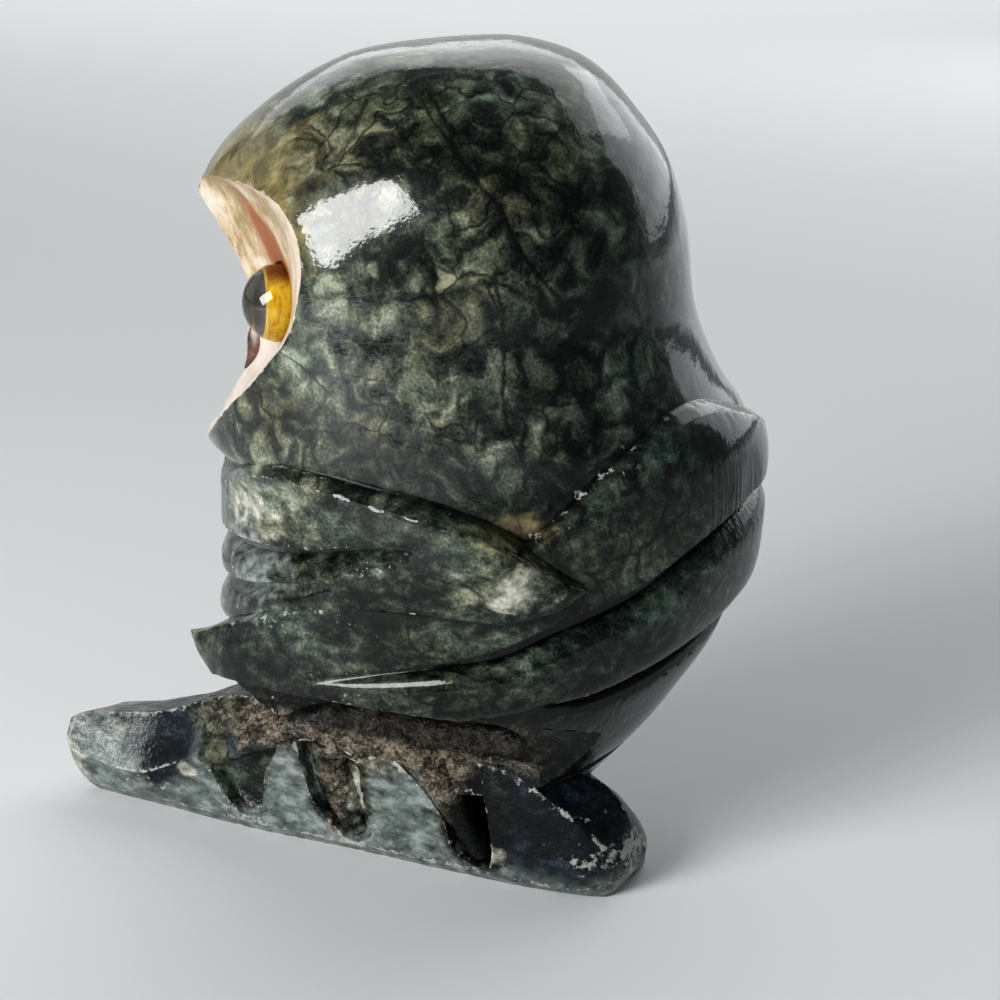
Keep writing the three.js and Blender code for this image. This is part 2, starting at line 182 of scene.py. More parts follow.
def carve(piece, tool, operation, finish=0):
    # finish: 0 polished stone, 1 raw stone, 2 the stained beak
    for part in (piece, tool):
        if not part.data.materials:
            for material in stoneFinishes:
                part.data.materials.append(material)
    tool.data.polygons.foreach_set("material_index", [finish] * len(tool.data.polygons))
    cut = piece.modifiers.new("carve", "BOOLEAN")
    cut.material_mode = "INDEX"
    cut.operation = operation
    cut.object = tool
    cut.solver = "MANIFOLD"
    before = len(piece.data.polygons)
    bakeModifiers(piece)
    after = len(piece.data.polygons)
    print(f"  {operation.lower()} {tool.name}: {before} faces and {len(tool.data.polygons)} give {after}")
    bpy.data.objects.remove(tool)


# Head and trunk: height, reach towards the face, reach towards the nape, half width
trunk = {
    "rings": [
        [9, 7.9, 12.1, 8], [13, 20.7, 14.2, 18], [20, 33.6, 20.1, 25], [25, 35, 23.8, 27.4],
        [30, 34.2, 27.2, 29], [35, 32.8, 29.2, 29.3], [40, 32.6, 30.5, 29.6], [50, 32.6, 31, 29.4],
        [52.4, 33.8, 31.1, 29.2], [54.6, 36.2, 30.9, 29], [58, 36.9, 29.8, 28.8], [62, 37.4, 27, 28.5],
        [70, 37.9, 23.7, 28], [80, 37.3, 22.4, 27.5], [88, 34.2, 20, 25.5], [93.9, 28.3, 15.9, 21.5],
        [98.4, 21.2, 11.6, 16], [100.8, 14.1, 6.8, 9.5], [102, 0, 0, 0],
        [100.8, -14.1, -6.8, -9.5], [98.4, -21.2, -11.6, -16],   # on over the crown, so that it is round
    ],
    "sides": 300,
    "spacing": 0.72,
}
trunkLine = smoothRows(trunk["rings"], 80)
travel = np.concatenate([[0], np.cumsum(np.hypot(*np.diff(trunkLine[:, :2], axis=0).T))])
even = np.arange(0, travel[-1], 0.1)
trunkLine = np.stack([np.interp(even, travel, trunkLine[:, i]) for i in range(4)], axis=1)
trunkLine = blur(trunkLine, 7)
crown = int(np.argmax(trunkLine[:, 0]))
trunkLine = trunkLine[:crown + 1]
trunkLine[-1, 1:] = 1e-4


def ellipseReach(angle, front, back, half):
    c = np.cos(angle - faceAngle)
    s = np.sin(angle - faceAngle)
    return 1 / np.hypot(c / np.where(c > 0, front, back), s / half)


def skin(angle, height):
    front, back, half = [np.interp(height, trunkLine[:, 0], trunkLine[:, i]) for i in (1, 2, 3)]
    return ellipseReach(angle, front, back, half)


def trunkPiece():
    rows = np.rint(np.linspace(0, crown, int(crown * 0.1 / trunk["spacing"]))).astype(int)
    height, front, back, half = trunkLine[rows].T[:, :, None]
    angle = np.linspace(0, 2 * math.pi, trunk["sides"], endpoint=False)[None, :]
    return loftPiece("trunk", compass(angle, ellipseReach(angle, front, back, half), height + 0 * angle))


# Wings, tip to shoulder: compass angle, top edge, bottom edge, how proud of the trunk.
# Grooves between their feathers: compass angle, height, depth
wings = {
    "left": [
        [-53, 30.5, 30, 4.6], [-49, 32, 28.4, 4.5], [-43, 34, 26.4, 3.8], [-34, 36.2, 23.2, 3.2],
        [-20, 39.2, 22, 2.4],
        [-2, 41.8, 24, 2], [15, 43.5, 26.4, 2], [33, 48.7, 28.6, 2], [48, 55.2, 30, 2], [59, 58.9, 31.6, 2],
        [70, 61.2, 33.2, 2], [83, 61.6, 35, 2], [96, 60, 36.6, 2], [112, 57.4, 38.2, 1.9], [130, 54, 40, 1.7],
        [146, 49.5, 42.5, 0.3],
    ],
    "leftGrooves": [
        [[-14, 30.8, 0.2], [0, 32.8, 1.2], [14, 34.5, 2], [27, 36.6, 2.8], [39, 39.5, 3.2], [57, 42.9, 3.4],
         [73, 46.7, 3.4], [87, 49, 3.2], [97, 49.9, 3], [116, 50.2, 2.4], [138, 49, 0.2]],
    ],
    "right": [
        [44, 44, 43.5, 3.6], [41, 45.2, 42.2, 4.2], [36, 47.2, 40.9, 4.5], [27, 50.2, 39.9, 4.4],
        [14, 52.7, 40.2, 3.6],
        [0, 54, 40, 2.6], [-12, 54.9, 38, 2.2], [-25, 55.2, 36, 2], [-36, 53.4, 34, 2], [-50, 51, 32.5, 2],
        [-64, 50.8, 32, 2], [-80, 55.4, 32.5, 2], [-96, 57.6, 33.5, 2], [-112, 57, 35.4, 1.9], [-130, 54, 38.4, 1.7],
        [-146, 49.5, 42.5, 0.3],
    ],
    "rightGrooves": [
        [[-10, 42.6, 0.2], [-23, 41.1, 1.2], [-35, 39.6, 1.8], [-50, 38.4, 2.4], [-70, 38.2, 2.6], [-90, 39, 2.6],
         [-112, 41, 2], [-138, 43, 0.2]],
        [[8, 48.6, 0.2], [-5, 47.3, 1.4], [-17, 45.9, 2], [-38, 44.6, 2.6], [-52, 43.9, 2.8], [-70, 44.4, 2.8],
         [-90, 45.8, 2.8], [-112, 47.4, 2.2], [-138, 48, 0.2]],
    ],
    "flankGroove": [
        [36, 28.9, 0.2], [46, 29.8, 1.6], [55, 31.3, 2.6], [66, 32.8, 3], [78, 34.4, 3], [96, 36.6, 2.8],
        [116, 38.8, 2], [138, 41.6, 0.2],
    ],
    "bevel": 1.3,
    "root": 4,
    "grooveRun": 4.6,
    "step": 0.8,      # degrees between sections
}
# Down a groove from its sharp upper edge: share of its run, share of its depth
grooveShape = np.array([[0, 0], [0.07, 0.93], [0.13, 1], [0.26, 0.98], [0.36, 0.8], [0.5, 0.42], [0.7, 0.18], [1, 0]])


def grooveAt(rows, degrees):
    height, depth = readRows(rows)(degrees)
    low, high = min(rows[0][0], rows[-1][0]), max(rows[0][0], rows[-1][0])
    outside = np.maximum(low - degrees, degrees - high)
    depth = depth * (1 - easeStep(0, 3, outside))
    run = (0.35 + 0.65 * np.minimum(1, depth / 3)) * wings["grooveRun"]
    return height, depth, run


def wingAngles(rows):
    first, last = rows[0][0], rows[-1][0]
    return np.linspace(first, last, int(abs(last - first) / wings["step"]) + 1)


def wingPiece(name, rows, grooves):
    degrees = wingAngles(rows)
    top, bottom, proud = readRows(rows)(degrees)
    cuts = [grooveAt(g, degrees) for g in grooves]
    bevel = np.minimum(wings["bevel"], (top - bottom) * 0.3)
    stops, counts = [bottom], []
    for height, depth, run in cuts:
        stops += [height - run, height - run * 0.36, height - run * 0.07, height]
        counts += [8, 8, 5, 3]
    stops += [top - bevel, top]
    counts += [10, 4]
    stops = np.array(stops)
    order = np.arange(len(stops))[:, None]
    gap = (top - bottom) * 0.006        # where a groove has ended, its lines close up against the next
    stops = np.clip(stops, bottom + order * gap, top - order[::-1] * gap)
    for i in range(1, len(stops)):
        stops[i] = np.maximum(stops[i], stops[i - 1] + gap * 0.5)
    heights = [stops[:1]]
    for low, high, count in zip(stops, stops[1:], counts):
        share = np.linspace(0, 1, count + 1)[1:, None]
        heights.append(low + (high - low) * share)
    height = np.vstack(heights)
    share = (height - bottom) / np.maximum(top - bottom, 1e-6)
    stand = np.interp(share, [0, 0.04, 0.12, 0.45, 1], [0.72, 0.93, 1, 1.1, 1.0])
    stand = proud * np.where(height > top - bevel, 1 - 0.65 * (height - top + bevel) / bevel, stand)
    for cutHeight, depth, run in cuts:
        down = (cutHeight - height) / run
        sink = np.interp(down, grooveShape[:, 0], grooveShape[:, 1], left=0, right=0) * depth
        inside = (down > 0) & (down < 1)
        level = stand + (np.minimum(stand, 2.05) - stand) * easeStep(0.1, 1.2, depth)
        stand = np.where(inside, level - sink, stand)
    angle = np.radians(degrees)
    outer = compass(angle, skin(angle, height) + stand, height)
    roots = [compass(angle, skin(angle, h) - wings["root"], h)[None] for h in (bottom, top)]
    ring = np.concatenate([roots[0], outer, roots[1]])
    return loftPiece(name, ring.transpose(1, 0, 2))


def groovePiece(name, rows, surface):
    degrees = wingAngles(rows)
    height, depth, run = grooveAt(rows, degrees)
    down = np.linspace(0, 1, 26)[:, None] ** 1.3
    sink = np.interp(down, grooveShape[:, 0], grooveShape[:, 1]) * depth
    angle = np.radians(degrees)
    level = height - down * run
    floor = compass(angle, skin(angle, level) + surface - sink, level)
    floor[-1] += compass(angle, 0.1, 0 * level[-1])
    roof = [compass(angle, skin(angle, h) + surface + 3, h)[None] for h in (level[-1], height)]
    ring = np.concatenate([floor, *roof])
    return loftPiece(name, ring.transpose(1, 0, 2))


# Face hollows: height, ridge between them, rim forward, rim aside, depth below the line from ridge to rim
face = {
    "hollows": [
        [52.6, 38.5, 36.5, 12, 0], [54.6, 36.1, 34.8, 6, 0.2], [57.2, 33.9, 33.6, 10.2, 0.9],
        [60.4, 32.2, 31.8, 14.8, 1.5], [63.5, 30.4, 29, 18, 2], [66.9, 29.9, 26.3, 20.2, 2.3],
        [69.3, 29.9, 24.4, 21.4, 2.5], [72, 30.4, 23.2, 22, 2.6], [74.8, 31.4, 22.5, 22.3, 2.6],
        [77, 32.5, 22.1, 22.4, 2.5], [79.4, 33.8, 22.2, 22.2, 2.3], [81.7, 35.2, 22.7, 21.5, 2],
        [83.7, 36.4, 23.9, 20.2, 1.7], [85.2, 37.7, 25.5, 18.5, 1.3], [86.4, 39.6, 28.5, 15.2, 0.6],
        [87.6, 43, 33, 16, 0],
    ],
    # across a hollow: share of the way from ridge to rim, share of the depth there, with a crease down it
    "across": [[0, 0], [0.05, 0.3], [0.16, 0.78], [0.28, 1.02], [0.36, 1.16], [0.42, 1.04], [0.55, 0.84],
               [0.7, 0.58], [0.85, 0.3], [0.95, 0.09], [1, 0]],
    "beak": [[67.6, 0.3, 0.4], [66, 0.8, 0.9], [64.4, 1, 0.8], [63, 0.7, 0.5], [61.8, 0.25, 0.2]],
    "beakRoot": 3,
}
hollowAt = readRows(face["hollows"])
acrossHollow = smoothRows(face["across"], 12)


def hollowPiece():
    height = np.linspace(52.6, 87.6, 96)
    ridge, rimForward, rimAside, depth = [v[:, None] for v in hollowAt(height)]
    share = np.linspace(0, 1, 46)[None, 1:]
    sink = np.interp(share, acrossHollow[:, 0], acrossHollow[:, 1])
    forward = ridge + (rimForward - ridge) * share - depth * sink
    aside = rimAside * share
    forward = np.concatenate([ridge, forward, rimForward + 0.6, rimForward + 1.6, rimForward + 26], axis=1)
    aside = np.concatenate([0 * ridge, aside, rimAside + 1, rimAside + 2.8, rimAside + 6], axis=1)
    half = np.stack([forward, aside], axis=-1)
    outline = np.concatenate([half, (half * np.array([1, -1]))[:, :0:-1]], axis=1)
    return loftPiece("hollows", headPoint(outline[..., 0], outline[..., 1], height[:, None] + 0 * outline[..., 0]))


def beakPiece():
    rows = smoothRows(face["beak"], 8)
    height, half, proud = [v[:, None] for v in rows.T]
    ridge = hollowAt(height[:, 0])[0][:, None]
    turn = np.linspace(0, 1, 9)[None, :]
    aside = half * (1 - turn)
    forward = ridge - 0.6 + (proud + 0.6) * np.sin(turn * math.pi / 2) ** 0.8
    side = np.stack([np.concatenate([ridge - face["beakRoot"], forward], axis=1),
                     np.concatenate([half, aside], axis=1)], axis=-1)
    outline = np.concatenate([side, (side * np.array([1, -1]))[:, -2::-1]], axis=1)
    return loftPiece("beak", headPoint(outline[..., 0], outline[..., 1], height + 0 * outline[..., 0]))


# The breast's underside: everything in front of it and above the feet goes
undercut = {"front": -14.5, "height": 22.8, "slope": 17, "reach": 40}


def undercutPiece():
    x = np.linspace(-62, 64, 200)[:, None]
    rise = math.tan(math.radians(undercut["slope"]))
    y = np.concatenate([np.full(12, undercut["front"]), undercut["front"] - np.linspace(1, undercut["reach"], 40),
                        np.full(2, undercut["front"] - undercut["reach"])])
    z = np.concatenate([np.linspace(0, undercut["height"], 12),
                        undercut["height"] + np.linspace(1, undercut["reach"], 40) * rise,
                        [15, 0]])
    sections = np.stack(np.broadcast_arrays(x, y[None], z[None]), axis=-1).copy()
    return loftPiece("undercut", sections)


# Log, section by section along X: X, underside, then Y and Z of the front foot, the bulge above it, the arris,
# the front of the top, the back of the top, and the back's furthest point
log = {
    "sections": [
        [-58, 4.5, -13.6, 4.5, -15, 6, -15.2, 8.6, -14.2, 10.4, -10.4, 9.4, -8, 6.5],
        [-57, 1.2, -12.8, 1.2, -14.7, 3.4, -16.4, 8, -14.2, 11.1, -8.4, 9.8, -3.5, 5],
        [-55, 0, -12.6, 0, -14.8, 1.9, -16.4, 7, -13.2, 11.6, -6.4, 10.6, 1, 4.6],
        [-50, 0, -12.9, 0, -14.6, 1.7, -16, 5.4, -12.4, 12, -4.4, 11, 4.5, 4.6],
        [-45, 0, -13.1, 0, -14.7, 1.6, -15.8, 5.6, -11.8, 12.8, -3.4, 12.3, 6.4, 5],
        [-40, 0, -13.4, 0, -14.7, 1.5, -15.8, 7.8, -11.4, 14.6, -3.6, 14.3, 8, 5.4],
        [-33, 0, -13.9, 0, -15, 1.5, -15.9, 11, -12, 17.4, -2, 17.2, 9.6, 6],
        [-24, 0, -13.8, 0, -15.2, 1.5, -15.8, 14.6, -13, 18.2, 0, 18, 10.8, 6],
        [-15, 0, -13.4, 0, -15, 1.5, -15.2, 16.6, -12.8, 18.4, 0, 18, 11, 6],
        [0, 0, -13.4, 0, -14.8, 1.5, -15, 16.4, -12.8, 18, 0, 17.4, 11, 6],
        [9, 0, -13.2, 0, -14.8, 1.5, -14.6, 15.4, -12.8, 16.8, -1, 13.6, 9, 5],
        [13, 0, -12.8, 0, -14.8, 1.5, -14.4, 13.2, -11, 15.6, -2.6, 12.4, 7.4, 4.6],
        [16.4, 0, -12.2, 0, -14.6, 1.6, -14.3, 11, -9.6, 14.9, -3.4, 11.2, 5.4, 4.2],
        [18.4, 0, -11.8, 0, -14.2, 1.8, -14, 9.6, -9, 14, -4, 10.6, 3.6, 3.6],
        [20.3, 0, -11, 0, -12.9, 2.2, -13, 7.4, -8.8, 12.6, -4.6, 9.4, 0.9, 3.4],
        [21.6, 1.2, -9.6, 1.2, -11.4, 2.8, -11.6, 6.6, -8.6, 10.8, -5.6, 8.4, -2, 4],
        [22.6, 3, -8.8, 3, -9.8, 3.8, -10, 6, -8.4, 8, -6.6, 7.2, -4.6, 4.6],
    ],
    "backFoot": 0.8,
    "spacing": 0.62,
    "front": -16.4,
    # scoops between the toes: outline in X and Z, and depth
    "scoops": [
        {"outline": [[-35, 9.2], [-31.2, 12.6], [-24.6, 13], [-25.9, 9.7], [-26.6, 6.5], [-26.8, 2.6], [-30.1, 2.4],
                     [-33.2, 5.2]], "depth": 2.2},
        {"outline": [[-21.4, 14.2], [-14, 14], [-12.4, 12], [-11.9, 8.1], [-10.6, 3.2], [-13.4, 1.8], [-16.4, 3.6],
                     [-19.6, 7.4]], "depth": 2.5},
        {"outline": [[-8.4, 15.4], [-4, 17.4], [1.6, 17.6], [4.6, 15.4], [5.2, 11.5], [6, 7], [6.2, 2.6], [4.6, 1.8],
                     [1.2, 3.6],
                     [-0.6, 7.7], [-4, 11.7]], "depth": 4.2},
    ],
    # toes over the log's front: points along each and the thickness there
    "toes": [
        [[-10, -13.2, 18.8, 2.4], [-18, -14.2, 17.6, 2], [-31.5, -14.9, 11, 1.5], [-42, -15, 6.4, 0.7]],
        [[-13, -12.8, 18, 2.8], [-17.6, -12.8, 12.6, 2.6], [-15.8, -12.6, 6.4, 2.2], [-13.2, -12.8, 2.4, 1.2]],
        [[-10, -13.4, 18.4, 3], [-3.6, -13.6, 15.4, 2.8], [0.6, -13, 8.6, 2], [4.2, -13, 2.4, 1]],
        [[-6, -13.4, 18.8, 2.8], [3, -13.6, 18.8, 2.2], [9.4, -13.4, 17.8, 1.7], [13.4, -12.8, 15, 1]],
    ],
    # flat breaks at the right end: outward direction and how far out
    "facets": [
        [[0.62, -0.5, 0.6], 24.2], [[0.86, -0.5, -0.1], 26.0], [[0.2, -0.85, 0.5], 22.3],
    ],
    # the bunched foot behind the toes: centre and radii
    "foot": [
        [[-9, -12.4, 17.2], [8.5, 4, 4.2]],
        [[5.5, -12.2, 18.6], [8.5, 3.6, 3.6]],
    ],
}
# points along each side of the log's section, from the front foot round over the top to the underside
logCounts = [4, 22, 10, 18, 20, 8, 16]


def logPiece():
    rows = np.array(log["sections"])
    line = [rows[:1]]
    padded = np.vstack([rows[:1], rows, rows[-1:]])
    for a, b, c, d in zip(padded, padded[1:], padded[2:], padded[3:]):
        count = max(2, round((c[0] - b[0]) / log["spacing"]))
        t = (np.arange(1, count + 1) / count)[:, None]
        straight = b + (c - b) * t
        curved = 0.5 * (2 * b + (c - a) * t + (2 * a - 5 * b + 4 * c - d) * t ** 2 + (3 * b - a - 3 * c + d) * t ** 3)
        line.append(straight * 0.4 + curved * 0.6)
    line = np.vstack(line)
    x, under = line[:, 0], line[:, 1]
    corners = line[:, 2:].reshape(len(line), 6, 2)
    backFoot = np.stack([corners[:, 5, 0] - log["backFoot"], under], axis=-1)
    corners = np.concatenate([corners, backFoot[:, None]], axis=1)
    corners[..., 1] = np.maximum(corners[..., 1], 0)
    ring = []
    for i, count in enumerate(logCounts):
        start, end = corners[:, i], corners[:, (i + 1) % 7]
        for share in np.arange(count) / count:
            ring.append(start + (end - start) * share)
    ring = np.array(ring).transpose(1, 0, 2)
    sections = np.concatenate([np.broadcast_to(x[:, None, None], ring.shape[:2] + (1,)), ring], axis=-1)
    return loftPiece("log", sections)


def closedCurve(outline, count):
    points = np.array(outline, float)
    line = smoothRows(np.vstack([points[-2:], points, points[:2]]), 30)
    line = line[60:-60]
    travel = np.concatenate([[0], np.cumsum(np.hypot(*np.diff(line, axis=0).T))])
    even = np.linspace(0, travel[-1], count, endpoint=False)
    return np.stack([np.interp(even, travel, line[:, i]) for i in (0, 1)], axis=1)


def scoopPiece(name, outline, depth):
    rim = closedCurve(outline, 110)
    middle = rim.mean(0)
    mouth = log["front"] + 1
    # size against the mouth, and how deep: flared lip, steep wall, dished floor
    steps = [[1.12, -2], [1.03, -0.3], [1, 0], [0.97, 0.35], [0.93, 0.6], [0.88, 0.8], [0.82, 0.9], [0.74, 0.96],
             [0.64, 1], [0.54, 1.03], [0.44, 1.05], [0.34, 1.06], [0.24, 1.07], [0.14, 1.08], [0.05, 1.08]]
    rings = []
    for size, down in steps:
        spot = middle + (rim - middle) * size
        y = np.full(len(rim), mouth + (down if down < 0 else down * depth))
        rings.append(np.stack([spot[:, 0], y, spot[:, 1]], axis=1))
    return loftPiece(name, np.array(rings))


def toePiece(name, points):
    line = smoothRows(points, 22)
    centre, radius = line[:, :3], line[:, 3]
    along = np.gradient(centre, axis=0)
    along /= np.linalg.norm(along, axis=1)[:, None]
    side = np.cross([0, 1, 0], along)
    side /= np.linalg.norm(side, axis=1)[:, None]
    up = np.cross(along, side)
    turn = np.linspace(0, 2 * math.pi, 28, endpoint=False)
    rings = centre[:, None] + radius[:, None, None] * (side[:, None] * np.cos(turn)[None, :, None]
                                                       + up[:, None] * np.sin(turn)[None, :, None])
    return loftPiece(name, rings)


def footPiece(name, centre, radii):
    bm = bmesh.new()
    bmesh.ops.create_uvsphere(bm, u_segments=64, v_segments=40, radius=1)
    bmesh.ops.scale(bm, vec=radii, verts=bm.verts)
    bmesh.ops.translate(bm, vec=centre, verts=bm.verts)
    mesh = bpy.data.meshes.new(name)
    bm.to_mesh(mesh)
    bm.free()
    tidyMesh(mesh)
    return newPiece(name, mesh)


# Glass eyes: low domes let into the stone
eye = {
    "radius": 4.55, "dome": 3.3, "seat": 2.6, "clearance": 0.3, "splay": 28,
    "height": 71.6, "across": 0.41, "sunk": 0.5,
    "irisDepth": 0.25,    # how far the painted back is dished
    "disc": 0.86,         # radius of the painted disc against the glass
    "cupBack": 1.8, "glassBack": 2.4,    # how far each goes into the stone
    "paintTurn": 21,      # the paint faces further forward than the glass
    "pupil": (0.32, 0.42, 0.68),    # centre towards the ridge, half width and half height, as shares of the disc
}


def eyePlace(side):
    ridge, rimForward, rimAside = [float(v) for v in hollowAt(eye["height"])[:3]]
    forward = ridge + (rimForward - ridge) * eye["across"] - eye["sunk"]
    centre = headPoint(forward, rimAside * eye["across"] * side, eye["height"])
    angle = faceAngle + math.radians(eye["splay"]) * side
    outward = Vector((math.sin(angle), -math.cos(angle), 0))
    return Vector(centre), outward


def spunPiece(name, profile, side, steps=64):
    # a profile of radius and height is spun round the eye's own axis
    bm = bmesh.new()
    verts = [bm.verts.new((r, 0, h)) for r, h in profile]
    edges = [bm.edges.new(pair) for pair in zip(verts, verts[1:])]
    bmesh.ops.spin(bm, geom=verts + edges, cent=(0, 0, 0), axis=(0, 0, 1), angle=2 * math.pi, steps=steps,
                   use_merge=True)
    bmesh.ops.remove_doubles(bm, verts=bm.verts, dist=0.002)
    centre, outward = eyePlace(side)
    bmesh.ops.transform(bm, matrix=Matrix.Translation(centre) @ outward.to_track_quat("Z", "Y").to_matrix().to_4x4(),
                        verts=bm.verts)
    bmesh.ops.recalc_face_normals(bm, faces=bm.faces)
    mesh = bpy.data.meshes.new(name)
    bm.to_mesh(mesh)
    bm.free()
    mesh.polygons.foreach_set("use_smooth", [True] * len(mesh.polygons))
    return newPiece(name, mesh)


def domeProfile(radius, dome, steps=18):
    ball = (radius ** 2 + dome ** 2) / (2 * dome)
    edge = math.asin(min(1, radius / ball))
    return [(ball * math.sin(edge * (1 - i / steps)), ball * math.cos(edge * (1 - i / steps)) - ball + dome)
            for i in range(steps + 1)]


def carvedStone():
    piece = trunkPiece()
    carve(piece, groovePiece("flankGroove", wings["flankGroove"], 0), "DIFFERENCE")
    carve(piece, wingPiece("leftWing", wings["left"], wings["leftGrooves"]), "UNION")
    carve(piece, wingPiece("rightWing", wings["right"], wings["rightGrooves"]), "UNION")
    carve(piece, undercutPiece(), "DIFFERENCE")
    carve(piece, hollowPiece(), "DIFFERENCE", 1)
    carve(piece, beakPiece(), "UNION", 2)
    block = logPiece()
    for i, cut in enumerate(log["scoops"]):
        carve(block, scoopPiece(f"scoop{i}", cut["outline"], cut["depth"]), "DIFFERENCE")
    carve(piece, block, "UNION")
    for i, points in enumerate(log["toes"]):
        carve(piece, toePiece(f"toe{i}", points), "UNION")
    for i, (centre, radii) in enumerate(log["foot"]):
        carve(piece, footPiece(f"foot{i}", centre, radii), "UNION")
    for side in (1, -1):
        gap = eye["clearance"]
        pocket = [(0, -eye["seat"] - gap), (eye["radius"] + gap, -eye["seat"] - gap)] \
            + domeProfile(eye["radius"] + gap, eye["dome"] + gap)
        carve(piece, spunPiece("pocket", pocket, side), "DIFFERENCE", 1)
    piece.name = "carved_stone"
    return piece


def toMetres(piece):
    points = pointsOf(piece.data)
    points += [owl["axis"][0], owl["axis"][1], 0]
    low, high = [np.array(c) for c in cadBox]
    setPoints(piece.data, np.clip(points * 0.001, low, high))


# Where the carving, the colour and the finish change: compass angle and height on the body, X and height on the log,
# reach each way, and strength
zones = {
    # light: the stone's own tone mixed with painted light and shade: lighter on the lit face side and along the
    # crown, painted shade low on the body, at the back, under the breast and in the log's scoops
    "light": {
        "body": [[-35, 84, 32, 16, 0.7], [-12, 62, 26, 12, 0.7], [14, 72, 14, 14, 0.35], [-25, 50, 30, 6, 0.2],
                 [-20, 30, 36, 8, -0.2], [55, 90, 30, 12, 0.1], [72, 72, 26, 24, 0.5], [75, 48, 30, 10, 0.15],
                 [0, 48, 30, 6, -0.5],
                 [36, 95, 60, 9, 0.45],
                 [60, 30, 24, 9, -0.35], [115, 60, 40, 40, -0.2],
                 [29, 45, 9, 3, 1.1], [22, 47, 14, 4, 0.2]],
        "log": [[-33, 9, 8, 4, 0.5], [14, 8, 8, 7, -0.5], [4, 8, 3, 8, -1.8], [-15, 9, 3, 6, -0.6],
                [-16, 21, 16, 3, -1.2], [-29, 6, 2.5, 4, -0.5]],
    },
    "amber": {
        "body": [[-52, 86, 17, 7, 0.8], [-30, 83, 11, 7, 0.75], [-86, 85, 16, 6, 0.55], [-24, 64, 12, 5, 0.06],
                 [30, 50.2, 9, 1.6, 0.3]],
        "log": [[-57, 8, 2.5, 4, 0.5]],
    },
    "brown": {
        "body": [],
        "log": [[-8, 17, 9, 3.6, 0.9], [5, 18.4, 6, 2.4, 0.7], [0, 13.4, 2.2, 4, 0.65], [-15.6, 9, 2, 6, 0.45],
                [-26, 15.5, 9, 2.6, 0.7]],
    },
    "cream": {
        "body": [[-34, 49.5, 12, 1.6, 0.55], [-28, 46.6, 10, 1, 0.45], [30.5, 44.6, 6, 2, 0.5]],
        "log": [[-57, 6, 2, 4, 0.6], [-38.3, 7.1, 1.2, 1.2, 0.8], [-13.6, 8.4, 1, 2.4, 0.8], [7, 4, 1.4, 1, 0.7]],
    },
    "grey": {
        "body": [[-34, 42, 10, 5, 0.6]],
        "log": [[-23, 7.5, 3.6, 8, 1], [-42, 6, 12, 5, 0.9], [-56, 7, 3, 7, 0.9], [-5.5, 8, 6.4, 7, 0.75],
                [-20, 1, 60, 3.2, 1],
                [-29.6, 7.5, 3.6, 6, -1.3], [-15, 8, 2.8, 7, -1.2], [4.5, 8.5, 4, 8, -1.4]],
    },
    "navy": {
        # navy: bluish dark patches on the log, in part the stone's own colour and in part painted shade under the toe
        # and on faces turned from the lamps
        "body": [],
        "log": [[-42, 9, 4.6, 5.5, 0.9], [-28.6, 12.4, 3, 1.2, 1], [15, 9, 9, 8, 0.7]],
    },
    "teal": {
        "body": [[76, 72, 34, 44, 1], [70, 34, 46, 24, 0.8], [-10, 30, 40, 9, 0.4], [20, 97, 60, 7, 0.8]],
        "log": [[15, 8, 14, 14, 1], [-30, 8, 4, 6, 0.6]],
    },
    "hair": {
        "body": [[4, 43, 10, 4, 0.8], [84, 49, 20, 6, 1], [58, 24, 16, 7, 0.8], [-30, 40, 24, 6, 0.4],
                 [120, 46, 40, 10, 0.15]],
        "log": [],
    },
    "crumbs": {
        "body": [[-22, 36, 8, 0.8, 0.6], [-4, 38.6, 8, 0.8, 0.6], [34, 49.4, 3, 0.8, 0.65], [39, 51.5, 3, 0.8, 0.6],
                 [44, 53.7, 3, 0.8, 0.6], [50, 56, 3, 0.8, 0.55], [56, 58.2, 3, 0.8, 0.5]],
        "log": [[19.5, 5.4, 4.5, 2.6, 0.8], [24, 11, 1.6, 4, 0.7], [12, 14, 4, 0.7, 0.6], [18, 11, 3, 0.7, 0.5],
                [6, 4, 1.6, 1, 0.8],
                [-44, 4, 8, 1.4, 0.7], [-9, 13.6, 4, 0.9, 0.8]],
    },
}
# Long dark veins: compass angle and height down each, and how wide in mm
veins = [
    {"line": [[0, 97.7], [13.5, 93.5], [14.4, 91.3], [19.8, 89], [23.9, 87.1], [27.9, 84.8], [30.2, 82], [34.5, 78.9],
              [40.9, 75.4], [44.5, 70.8]], "wide": 0.42},
    {"line": [[42.8, 98.6], [49.6, 95.2], [59, 93.1], [66.7, 90.4], [68.3, 88.3], [72.6, 85.1]], "wide": 0.3},
    {"line": [[7.6, 81.7], [12.1, 79.7], [12.2, 76.8], [13.4, 72]], "wide": 0.4},
    {"line": [[26, 79], [28, 70], [28, 62], [33, 57]], "wide": 0.26},
    {"line": [[-30, 70], [-18, 67.5], [-10, 64]], "wide": 0.24},
    {"line": [[50.5, 20.8], [53.1, 23.7], [55.7, 26.3]], "wide": 0.35},
]


def spread(zone, turn, x, height, onLog):
    # soft ellipses over the body or the log
    value = np.zeros(len(height))
    for along, spots in ((turn, zone["body"]), (x, zone["log"])):
        for centre, level, reach, rise, amount in spots:
            bump = np.exp(-0.5 * (((along - centre) / reach * 1.5) ** 2 + ((height - level) / rise * 1.5) ** 2))
            value += amount * bump * (onLog if zone["log"] is spots else 1 - onLog)
    return value


def addValues(mesh, name, values):
    kind = "FLOAT" if values.ndim == 1 else "FLOAT_VECTOR"
    layer = mesh.attributes.new(name, kind, "POINT")
    layer.data.foreach_set("value" if values.ndim == 1 else "vector", values.astype(np.float32).ravel())


